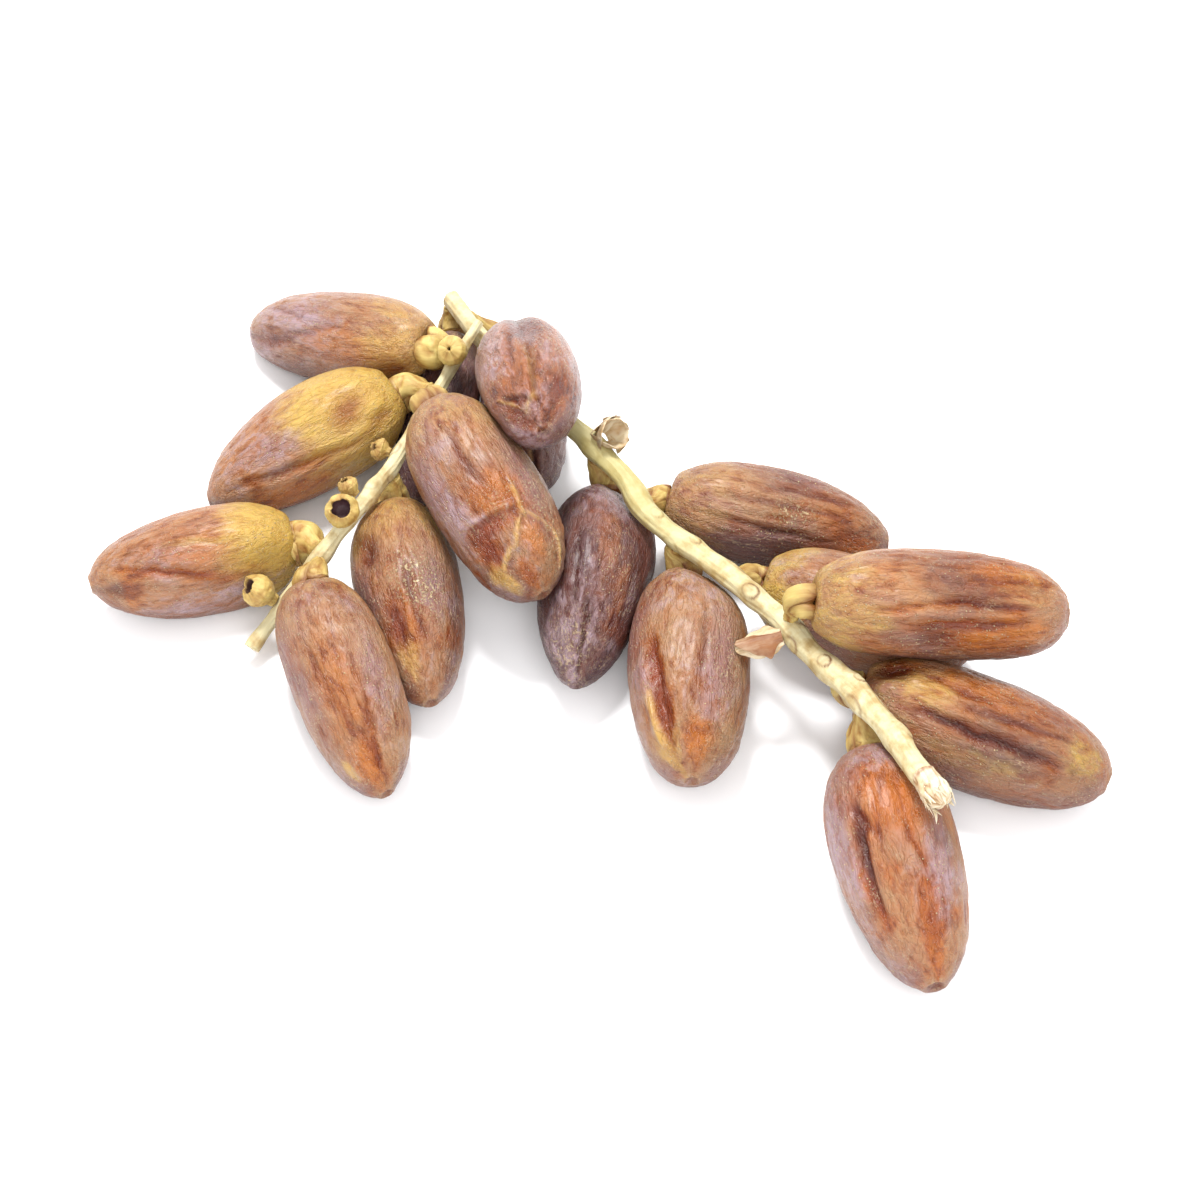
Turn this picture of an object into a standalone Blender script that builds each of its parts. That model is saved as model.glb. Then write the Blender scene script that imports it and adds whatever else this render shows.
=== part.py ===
"""A bunch of dates: sixteen ripe fruits on two cut fruiting strands, lying as picked.

Every date sits in a woody cap that grows from its strand. The strands lie over the pile, most
dates rest on the ground, and three lie on top of others. Lengths in the tables are millimetres
and angles are degrees. Headings turn anticlockwise from +X, seen from above.
"""

import math
from collections import namedtuple

import bmesh
import bpy
import numpy as np
from mathutils import Vector

MM = 0.001

# Driving dimensions, in millimetres.
FRUIT_LENGTH = 40.0
FRUIT_GIRTH = 19.0
LONG_STRAND_THICKNESS = 4.2
SHORT_STRAND_THICKNESS = 3.0
CAP_REACH = 5.5
CAP_MOUTH = 7.0
CAP_NECK = 2.6
CAP_LEAD = 0.9
CAP_BEND = 0.4
CUP_WIDTH = 5.2
CUP_HEIGHT = 5.5

# Fits: pieces that meet keep CLEARANCE; a date that lies on the ground is pressed a little flat.
CLEARANCE = 0.3
GROUND_PRESS = 0.8
NODE_SWELL = 0.4
NODE_SPREAD = 2.2
UPPER_END_TAPER = 0.82
TAPER_LENGTH = 25.0
CUP_WALL = 0.9
CUP_DEPTH = 2.4
FOOT_HEIGHT = 0.5
FOOT_ROUNDING = 0.2

# A cup's hollow and its outside, as shares of its radius and of its depth or height.
CUP_HOLLOW = [(0.0, 0.0), (0.6, 0.08), (0.75, 0.5), (0.85, 0.95)]
CUP_OUTSIDE = [(0.80, 1.0), (0.95, 0.85), (1.0, 0.6), (0.85, 0.3)]

# A date's outline: the share of its length before the widest place, and how square its stem end is.
WIDEST_AT = 0.42
STEM_SQUARENESS = 2.7
STEM_FACE_INSET = 0.5

# Mesh fineness.
DATE_SIDES = 16
DATE_RINGS = 13
SAMPLES_PER_SPAN = 3
CAP_SAMPLES = 4
TUBE_RESOLUTION = 3
CUP_SIDES = 12
MERGE_WITHIN = 0.00005

Date = namedtuple(
    "Date",
    "name strand station cap_heading cap_rise cap_more heading tilt longer thicker bow tip",
)
SETTLES = None

LONG_ROUTE = [
    (-28.0, 59.0, 16.5),
    (-21.5, 47.5, 17.0),
    (-14.5, 37.0, 17.5),
    (-4.0, 24.5, 18.0),
    (4.5, 13.0, 17.5),
    (8.0, 6.0, 17.0),
    (17.5, -3.0, 16.5),
    (27.0, -13.5, 17.0),
    (31.0, -18.5, 17.5),
    (38.0, -29.0, 18.5),
    (43.0, -35.0, 19.5),
    (49.0, -48.5, 22.5),
    (52.0, -55.0, 24.0),
]
SHORT_ROUTE = [
    (-22.0, 48.5, 21.0),
    (-28.5, 35.5, 18.5),
    (-33.0, 26.0, 18.0),
    (-36.5, 16.5, 17.5),
    (-41.0, 9.0, 17.0),
    (-46.0, 3.0, 14.5),
    (-51.5, -2.5, 10.5),
    (-57.0, -8.5, 6.0),
    (-61.0, -13.5, 3.0),
]

# name, strand, station, cap heading and rise, more reach, heading, tilt, longer, thicker, bow, tip
DATES = [
    Date("date_01", "short_strand", 7.0, 162, -16, -0.5, 152, SETTLES, 3.0, -1.5, -1.0, 2.3),
    Date("date_02", "short_strand", 17.0, 160, -26, 1.5, -152, SETTLES, 0.0, 1.0, -1.5, 1.9),
    Date("date_03", "short_strand", 56.5, 138, -23, 0.5, -168, SETTLES, -3.0, 0.5, 0.5, 2.0),
    Date("date_04", "short_strand", 58.0, -98, 7, 0.0, -69, SETTLES, 1.5, 0.0, 1.0, 2.0),
    Date("date_05", "short_strand", 37.0, -82, -68, 0.5, -79, SETTLES, 1.5, 0.0, 0.0, 2.0),
    Date("date_06", "short_strand", 24.0, -48, 54, 1.0, -61, -12, 1.5, 1.5, 0.5, 2.5),
    Date("date_07", "long_strand", 1.0, -90, -63, 0.0, -99, SETTLES, -2.5, -4.0, 0.0, 1.9),
    Date("date_08", "long_strand", 5.0, -19, -43, 5.5, -80, SETTLES, -8.0, -3.5, 0.0, 2.0),
    Date("date_09", "long_strand", 18.0, -33, 50, 0.0, -81, 21, -5.0, -0.5, 0.0, 2.1),
    Date("date_10", "long_strand", 48.0, -61, -57, 1.5, -99, SETTLES, 2.0, 1.5, 0.0, 1.7),
    Date("date_11", "long_strand", 72.0, -70, -51, 0.0, -90, SETTLES, 1.5, 2.0, 0.0, 2.4),
    Date("date_12", "long_strand", 61.0, 37, -40, 1.0, -9, SETTLES, 1.0, -1.0, 2.0, 2.3),
    Date("date_13", "long_strand", 84.0, 23, -39, 1.5, -18, SETTLES, -1.5, 0.5, 0.0, 2.1),
    Date("date_14", "long_strand", 99.5, -21, 66, 1.5, 1, -6, 3.5, -0.5, 1.0, 3.0),
    Date("date_15", "long_strand", 112.0, 7, -52, 0.0, -19, SETTLES, 4.5, 1.0, 0.0, 2.4),
    Date("date_16", "long_strand", 120.5, -85, -52, 1.5, -78, SETTLES, 2.5, 2.0, 0.0, 2.0),
]

# Empty cups: name, strand, station, heading, rise, wider, taller
CUPS = [
    ("empty_cup_1", "short_strand", 10.0, -110, 40, 0.2, -0.5),
    ("empty_cup_2", "short_strand", 32.5, 170, -10, -1.4, -2.2),
    ("empty_cup_3", "short_strand", 44.5, 120, 30, -1.6, -2.2),
    ("empty_cup_4", "short_strand", 49.0, -130, 35, 0.8, -1.2),
    ("empty_cup_5", "short_strand", 68.0, -175, 25, 0.4, -0.2),
    ("dry_calyx", "long_strand", 46.5, 40, 15, 1.4, 0.3),
    ("dry_husk", "long_strand", 101.0, -165, 10, 0.2, 2.0),
]

TIP_LENGTH = 6.5
TIP_RISE = 5.0
TIP_GAP = 0.6
TIP_PROFILE = [(0.0, 1.7), (0.3, 2.6), (0.7, 2.9), (1.0, 1.6)]

# The balls that stand for a date or a cup while its neighbours are looked up.
BALLS_PER_DATE = 17
BALLS_SPAN = (0.08, 0.93)
OUTLINE_STEPS = 90
BALLS_PER_CUP = 4
BALLS_PER_MM = 2
CUP_BALL_INSET = 0.2
NEAR = 2.0
PRESS_PASSES = 60
MOST_TILT = 20.0
LEAST_TILT = -35.0
TILT_STEPS = 30

# Colours as the surfaces reflect them, with roughness.
DATE_COLOURS = [
    (0.30, 0.13, 0.075),
    (0.36, 0.17, 0.06),
    (0.22, 0.09, 0.06),
    (0.40, 0.16, 0.05),
]
DATE_ROUGHNESS = 0.45
WOOD_COLOUR = (0.78, 0.66, 0.34)
CAP_COLOUR = (0.58, 0.38, 0.12)
WOOD_ROUGHNESS = 0.7


def direction(heading, rise):
    """The unit vector with this heading and this angle above level, both in degrees."""
    turn, lift = math.radians(heading), math.radians(rise)
    return np.array([math.cos(turn) * math.cos(lift), math.sin(turn) * math.cos(lift), math.sin(lift)])


def unit(vector):
    return vector / np.linalg.norm(vector)


def smooth_route(points):
    """A Catmull-Rom curve through the points."""
    route = np.array(points)
    ends = np.vstack([2 * route[0] - route[1], route, 2 * route[-1] - route[-2]])
    share = (np.arange(SAMPLES_PER_SPAN) / SAMPLES_PER_SPAN)[:, None]
    spans = []
    for before, start, stop, after in zip(ends, ends[1:], ends[2:], ends[3:]):
        line = 2 * start + (stop - before) * share
        bend = (2 * before - 5 * start + 4 * stop - after) * share**2
        twist = (3 * start - before - 3 * stop + after) * share**3
        spans.append((line + bend + twist) / 2)
    return np.vstack(spans + [route[-1:]])


class Strand:
    """A strand's centre line and its radius, which swells where something grows from it."""

    def __init__(self, route, thickness, stations):
        self.points = smooth_route(route)
        steps = np.linalg.norm(np.diff(self.points, axis=0), axis=1)
        self.along = np.concatenate([[0.0], np.cumsum(steps)])
        taper = np.interp(self.along, [0.0, TAPER_LENGTH], [UPPER_END_TAPER, 1.0])
        nearest = np.abs(self.along[:, None] - np.array(stations)[None]).min(axis=1)
        self.radii = thickness / 2 * taper + NODE_SWELL * np.exp(-((nearest / NODE_SPREAD) ** 2))

    def at(self, station):
        """The centre line's point and direction there, and the widest radius near it."""
        point = np.array([np.interp(station, self.along, axis) for axis in self.points.T])
        ahead = np.array([np.interp(station + 1.0, self.along, axis) for axis in self.points.T])
        behind = np.array([np.interp(station - 1.0, self.along, axis) for axis in self.points.T])
        close = np.abs(self.along - station) < NODE_SPREAD * 2
        return point, unit(ahead - behind), self.radii[close].max()


def outline(date, angles):
    """Distance along the axis and radius at each angle from the stem end (0) to the tip (pi).

    Both halves are superellipses that meet at the widest place.
    """
    length = FRUIT_LENGTH + date.longer
    girth = FRUIT_GIRTH + date.thicker
    cosines, sines = np.cos(angles), np.abs(np.sin(angles))
    stem_half = cosines > 0
    power = np.where(stem_half, 2 / STEM_SQUARENESS, 2 / date.tip)
    reach = np.where(stem_half, WIDEST_AT, 1 - WIDEST_AT) * length
    along = WIDEST_AT * length - np.sign(cosines) * np.abs(cosines) ** power * reach
    return along - STEM_FACE_INSET, girth / 2 * sines**power


def axis_frame(date, tilt):
    """The date's own directions: along its axis, to its left and upwards."""
    axis = direction(date.heading, tilt)
    side = unit(np.cross([0.0, 0.0, 1.0], axis))
    return axis, side, np.cross(axis, side)


def axis_points(date, stem, tilt, along):
    """Points on the date's bowed axis."""
    axis, side, _ = axis_frame(date, tilt)
    share = along / (FRUIT_LENGTH + date.longer)
    bow = date.bow * 4 * share * (1 - share)
    return stem + np.outer(along, axis) + np.outer(bow, side)


def balls(date, stem, tilt):
    """Centres and radii of the largest balls that fit inside the date along its axis."""
    along = np.linspace(*BALLS_SPAN, BALLS_PER_DATE) * (FRUIT_LENGTH + date.longer)
    edge_along, edge_radius = outline(date, np.linspace(0, math.pi, OUTLINE_STEPS))
    radii = np.hypot(along[:, None] - edge_along[None], edge_radius[None]).min(axis=1)
    return axis_points(date, stem, tilt, along), radii


def settled_tilt(date, stem):
    """The tilt at which the date's lowest place is pressed GROUND_PRESS into the ground."""
    low, high = LEAST_TILT, MOST_TILT
    for _ in range(TILT_STEPS):
        middle = (low + high) / 2
        centres, radii = balls(date, stem, middle)
        lowest = (centres[:, 2] - radii).min()
        if lowest < -GROUND_PRESS:
            low = middle
        else:
            high = middle
    return high


def stem_point(date, strand):
    """Where the middle of the date's stem face is, at the end of its cap."""
    foot, _, radius = strand.at(date.station)
    return foot + (radius + CAP_REACH + date.cap_more) * direction(date.cap_heading, date.cap_rise)


def cap_path(strand, station, stem, axis):
    """From the strand's surface to the stem face: straight at both ends, a cubic between."""
    foot, along, radius = strand.at(station)
    reach = stem - foot
    out = unit(reach - along * (reach @ along))
    start, end = foot + out * (radius + CLEARANCE), stem - axis * CLEARANCE
    leave, arrive = start + out * CAP_LEAD, end - axis * CAP_LEAD
    handle = CAP_BEND * np.linalg.norm(arrive - leave)
    share = np.linspace(0, 1, CAP_SAMPLES)[:, None]
    rest = 1 - share
    inner = rest**2 * share * (leave + out * handle) + rest * share**2 * (arrive - axis * handle)
    points = np.vstack([start, rest**3 * leave + 3 * inner + share**3 * arrive, end])
    flare = np.linspace(0, 1, len(points)) ** 2
    return points, CAP_NECK / 2 + (CAP_MOUTH - CAP_NECK) / 2 * flare


def contact(first, second):
    """The gap between two chains of balls, with the first's nearest ball and the way to the second."""
    offsets = second[0][None] - first[0][:, None]
    distances = np.linalg.norm(offsets, axis=2)
    gaps = distances - first[1][:, None] - second[1][None]
    near, other = np.unravel_index(gaps.argmin(), gaps.shape)
    return gaps[near, other], near, offsets[near, other] / distances[near, other]


def add_shared_faces(chains, planes):
    """Two dates that touch flatten against one plane midway between them."""
    names = list(chains)
    for place, first in enumerate(names):
        for second in names[place + 1 :]:
            gap, near, way = contact(chains[first], chains[second])
            if gap < NEAR:
                centres, radii = chains[first]
                middle = centres[near] @ way + radii[near] + gap / 2
                planes[first].append((way, middle - CLEARANCE / 2))
                planes[second].append((-way, -middle - CLEARANCE / 2))


def add_dents(points, chain, planes, obstacle):
    """A date gives way to something hard: one plane for each ball that it would still touch."""
    centres, radii = obstacle
    for centre, radius in zip(centres, radii):
        parted = any(centre @ way - limit > radius + CLEARANCE for way, limit in planes)
        touched = np.linalg.norm(points - centre, axis=1).min() < radius + CLEARANCE
        gap, _, way = contact(chain, (centre[None], np.array([radius])))
        if not parted and (touched or gap < CLEARANCE):
            planes.append((way, centre @ way - radius - CLEARANCE))


def pressed(points, planes):
    """The points moved square onto each plane that they are beyond."""
    for _ in range(PRESS_PASSES):
        for way, limit in planes:
            beyond = np.maximum(points @ way - limit, 0)
            points = points - np.outer(beyond, way)
    return points


def in_steps(points, radii):
    """A chain of balls about half a millimetre apart along a tube."""
    steps = np.linalg.norm(np.diff(points, axis=0), axis=1)
    along = np.concatenate([[0.0], np.cumsum(steps)])
    fine = np.linspace(0, along[-1], max(2, int(along[-1] * BALLS_PER_MM)))
    centres = np.column_stack([np.interp(fine, along, axis) for axis in points.T])
    return centres, np.interp(fine, along, radii)


def material(name, colour, roughness):
    made = bpy.data.materials.new(name)
    made.use_nodes = True
    shader = made.node_tree.nodes["Principled BSDF"]
    shader.inputs["Base Color"].default_value = (*colour, 1.0)
    shader.inputs["Roughness"].default_value = roughness
    shader.inputs["Metallic"].default_value = 0.0
    return made


def placed(name, data, bunch, root, finish):
    """A new object in the bunch, with its own material."""
    made = bpy.data.objects.new(name, data)
    made.data.materials.append(finish)
    made.parent = root
    bunch.objects.link(made)
    return made


def date_points(date, stem, tilt, unit_points):
    """The date's skin: each point of a unit ball carried to the outline at its own angle."""
    axis, side, up = axis_frame(date, tilt)
    angles = np.arccos(np.clip(unit_points[:, 2], -1, 1))
    along, radius = outline(date, angles)
    turn = np.arctan2(unit_points[:, 1], unit_points[:, 0])
    centres = axis_points(date, stem, tilt, along)
    out = np.outer(radius * np.cos(turn), up) + np.outer(radius * np.sin(turn), side)
    return centres + out


def date_mesh(name, shape):
    """A ball of DATE_SIDES by DATE_RINGS whose points are given in millimetres."""
    body = unit_ball()
    for vert, place in zip(body.verts, shape * MM):
        vert.co = place
    mesh = bpy.data.meshes.new(name)
    body.to_mesh(mesh)
    body.free()
    mesh.shade_smooth()
    return mesh


def unit_ball():
    body = bmesh.new()
    bmesh.ops.create_uvsphere(body, u_segments=DATE_SIDES, v_segments=DATE_RINGS, radius=1.0)
    return body


def tube(name, points, radii):
    """A curve through the points, with its own radius at each and closed ends."""
    data = bpy.data.curves.new(name, "CURVE")
    data.dimensions = "3D"
    data.bevel_depth = MM
    data.bevel_resolution = TUBE_RESOLUTION
    data.render_resolution_u = 0
    data.use_fill_caps = True
    line = data.splines.new("POLY")
    line.points.add(len(points) - 1)
    for knot, place, radius in zip(line.points, points * MM, radii):
        knot.co = (*place, 1.0)
        knot.radius = radius
    return data


def cup_profile(width, height):
    """Radius and height down the cup: its hollow from the middle out, its rim, then its outside."""
    outer, inner = width / 2, width / 2 - CUP_WALL
    floor = height - CUP_DEPTH
    hollow = [(inner * share, floor + CUP_DEPTH * rise) for share, rise in CUP_HOLLOW]
    outside = [(outer * share, height * rise) for share, rise in CUP_OUTSIDE]
    foot = [(CAP_NECK / 2, FOOT_HEIGHT), (CAP_NECK / 2 - FOOT_ROUNDING, 0.0), (0.0, 0.0)]
    return hollow + outside + foot


def turned(name, profile):
    """A line of edges in the XZ plane, which a Screw modifier turns about Z."""
    mesh = bpy.data.meshes.new(name)
    places = [(radius * MM, 0.0, height * MM) for radius, height in profile]
    mesh.from_pydata(places, [(k, k + 1) for k in range(len(places) - 1)], [])
    return mesh


def add_screw(cup):
    screw = cup.modifiers.new("turn", "SCREW")
    screw.steps = screw.render_steps = CUP_SIDES
    screw.use_merge_vertices = True
    screw.merge_threshold = MERGE_WITHIN
    screw.use_smooth_shade = True


def add_cups(strands, bunch, root):
    """The cups whose dates have dropped: each stands on its strand, open at the far end."""
    chains = []
    for name, strand, station, heading, rise, wider, taller in CUPS:
        width, height = CUP_WIDTH + wider, CUP_HEIGHT + taller
        foot, along, radius = strands[strand].at(station)
        way = direction(heading, rise)
        out = unit(way - along * (way @ along))
        base = foot + out * (radius + CLEARANCE)
        finish = material(name, CAP_COLOUR, WOOD_ROUGHNESS)
        cup = placed(name, turned(name, cup_profile(width, height)), bunch, root, finish)
        cup.location = base * MM
        cup.rotation_mode = "QUATERNION"
        cup.rotation_quaternion = Vector(out).to_track_quat("Z", "Y")
        add_screw(cup)
        inside = np.linspace(width * CUP_BALL_INSET, height - width * CUP_BALL_INSET, BALLS_PER_CUP)
        chains.append((base + np.outer(inside, out), np.full(BALLS_PER_CUP, width / 2)))
    return chains


def add_strand(name, strand, bunch, root):
    """One strand, which starts cleanly cut at its upper end."""
    finish = material(name, WOOD_COLOUR, WOOD_ROUGHNESS)
    placed(name, tube(name, strand.points, strand.radii), bunch, root, finish)


def add_frayed_tip(strand, bunch, root):
    """The torn fibres at the long strand's lower end, as one short tapered plug."""
    end, along, _ = strand.at(strand.along[-1])
    heading = math.degrees(math.atan2(along[1], along[0]))
    way = direction(heading, TIP_RISE)
    start = end + along * TIP_GAP
    shares, radii = zip(*TIP_PROFILE)
    points = start + np.outer(np.array(shares) * TIP_LENGTH, way)
    finish = material("frayed_tip", WOOD_COLOUR, WOOD_ROUGHNESS)
    placed("frayed_tip", tube("frayed_tip", points, radii), bunch, root, finish)
    return points, np.array(radii)


def add_caps(paths, bunch, root):
    """The woody cap of each date, numbered as its date is."""
    for number, (points, radii) in enumerate(paths.values(), start=1):
        name = f"cap_{number:02d}"
        finish = material(name, CAP_COLOUR, WOOD_ROUGHNESS)
        placed(name, tube(name, points, radii), bunch, root, finish)


def add_dates(places, chains, paths, hard, bunch, root):
    """The fruits, flattened on the ground and against whatever each one touches."""
    body = unit_ball()
    ball_points = np.array([vert.co for vert in body.verts])
    body.free()
    planes = {name: [(np.array([0.0, 0.0, -1.0]), 0.0)] for name in places}
    add_shared_faces(chains, planes)
    for number, date in enumerate(DATES):
        stem, tilt, axis = places[date.name]
        points = date_points(date, stem, tilt, ball_points)
        planes[date.name].append((-axis, -(stem @ axis)))
        others = [in_steps(*path) for name, path in paths.items() if name != date.name]
        for obstacle in hard + others:
            add_dents(points, chains[date.name], planes[date.name], obstacle)
        shape = pressed(points, planes[date.name])
        colour = DATE_COLOURS[number % len(DATE_COLOURS)]
        finish = material(date.name, colour, DATE_ROUGHNESS)
        placed(date.name, date_mesh(date.name, shape), bunch, root, finish)


def centre_on_ground(bunch, root):
    """Moves the bunch so that the middle of its box, seen from above, is at the origin."""
    bpy.context.view_layer.update()
    graph = bpy.context.evaluated_depsgraph_get()
    corners = []
    for part in bunch.objects:
        if part.type != "EMPTY":
            solid = part.evaluated_get(graph)
            corners += [part.matrix_world @ vert.co for vert in solid.to_mesh().vertices]
            solid.to_mesh_clear()
    low, high = np.min(corners, axis=0), np.max(corners, axis=0)
    root.location = (-(low[0] + high[0]) / 2, -(low[1] + high[1]) / 2, -low[2])


def clear_scene():
    for old in list(bpy.data.objects):
        bpy.data.objects.remove(old, do_unlink=True)


def new_bunch():
    bunch = bpy.data.collections.new("date_bunch")
    bpy.context.scene.collection.children.link(bunch)
    root = bpy.data.objects.new("date_bunch_origin", None)
    bunch.objects.link(root)
    return bunch, root


def new_strands():
    """Both strands, swollen at every date and cup that they carry."""
    strands = {}
    for name, route, thickness in (
        ("long_strand", LONG_ROUTE, LONG_STRAND_THICKNESS),
        ("short_strand", SHORT_ROUTE, SHORT_STRAND_THICKNESS),
    ):
        stations = [row[2] for row in DATES + CUPS if row[1] == name]
        strands[name] = Strand(route, thickness, stations)
    return strands


def place_dates(strands):
    """Each date's stem point, tilt and axis, the balls inside it, and its cap's path."""
    places, chains, paths = {}, {}, {}
    for date in DATES:
        stem = stem_point(date, strands[date.strand])
        tilt = settled_tilt(date, stem) if date.tilt is SETTLES else date.tilt
        axis = direction(date.heading, tilt)
        places[date.name] = stem, tilt, axis
        chains[date.name] = balls(date, stem, tilt)
        paths[date.name] = cap_path(strands[date.strand], date.station, stem, axis)
    return places, chains, paths


def main():
    clear_scene()
    bunch, root = new_bunch()
    strands = new_strands()
    places, chains, paths = place_dates(strands)
    for name, strand in strands.items():
        add_strand(name, strand, bunch, root)
    hard = [in_steps(strand.points, strand.radii) for strand in strands.values()]
    hard += add_cups(strands, bunch, root)
    hard.append(in_steps(*add_frayed_tip(strands["long_strand"], bunch, root)))
    add_caps(paths, bunch, root)
    add_dates(places, chains, paths, hard, bunch, root)
    centre_on_ground(bunch, root)


main()
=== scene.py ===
"""A bunch of ripe dates in its finished looks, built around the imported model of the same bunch.

Every fruit, cap, cup, husk and strand is one closed skin whose shape is worked out with numpy.
Lengths in the tables are millimetres and angles are degrees.
"""

import math
from collections import namedtuple

import bpy
import numpy as np
from bpy.props import FloatProperty, FloatVectorProperty, IntProperty, PointerProperty
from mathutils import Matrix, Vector


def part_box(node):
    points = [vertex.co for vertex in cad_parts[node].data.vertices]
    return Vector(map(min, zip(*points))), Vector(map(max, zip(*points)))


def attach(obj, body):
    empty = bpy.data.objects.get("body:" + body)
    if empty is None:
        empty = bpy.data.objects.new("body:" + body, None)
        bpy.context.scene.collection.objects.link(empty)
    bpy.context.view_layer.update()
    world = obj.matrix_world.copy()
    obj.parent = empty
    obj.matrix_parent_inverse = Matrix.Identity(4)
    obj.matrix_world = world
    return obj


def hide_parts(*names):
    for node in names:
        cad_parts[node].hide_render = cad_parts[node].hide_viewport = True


bl_info = {
    "name": "Bunch of dates",
    "version": (1, 0, 0),
    "blender": (4, 5, 0),
    "location": "View3D > Sidebar > Dates",
    "description": "Ripe dates in woody caps on two cut strands",
    "category": "Object",
}

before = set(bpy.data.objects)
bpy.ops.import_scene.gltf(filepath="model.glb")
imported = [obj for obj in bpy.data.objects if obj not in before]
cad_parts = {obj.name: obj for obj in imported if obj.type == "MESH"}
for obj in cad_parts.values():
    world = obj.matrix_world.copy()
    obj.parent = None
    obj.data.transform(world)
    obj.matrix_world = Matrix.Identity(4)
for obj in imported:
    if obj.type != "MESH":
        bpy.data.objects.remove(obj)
bpy.context.view_layer.update()

MM = 0.001
BODY = "root"
# The strands' routes are written about another origin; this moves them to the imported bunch.
LAYOUT_SHIFT = np.array([2.147, 8.312, 0.0])
# The lowest that a skin may reach, so that none sinks into the floor.
FLOOR_GAP = 0.02

# ---------------------------------------------------------------- tables of the bunch

Mark = namedtuple("Mark", "kind along round long wide turn depth tint strength")
# kind "dent" is a smooth hollow (a bump where its depth is negative), "fold" a narrow crease
# with raised lips, "patch" a change of colour alone. along is the share of the length from the
# stem end, round the angle from the top, long and wide half lengths, turn from lengthwise.

# A fold's or dent's tint covers its hollow, so a dark tint there is partly the skin's own darker tone and
# partly painted shade in the crease.
Fruit = namedtuple("Fruit", "slot seed gold gold_reach bloom dark wrinkle crumple marks")

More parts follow.
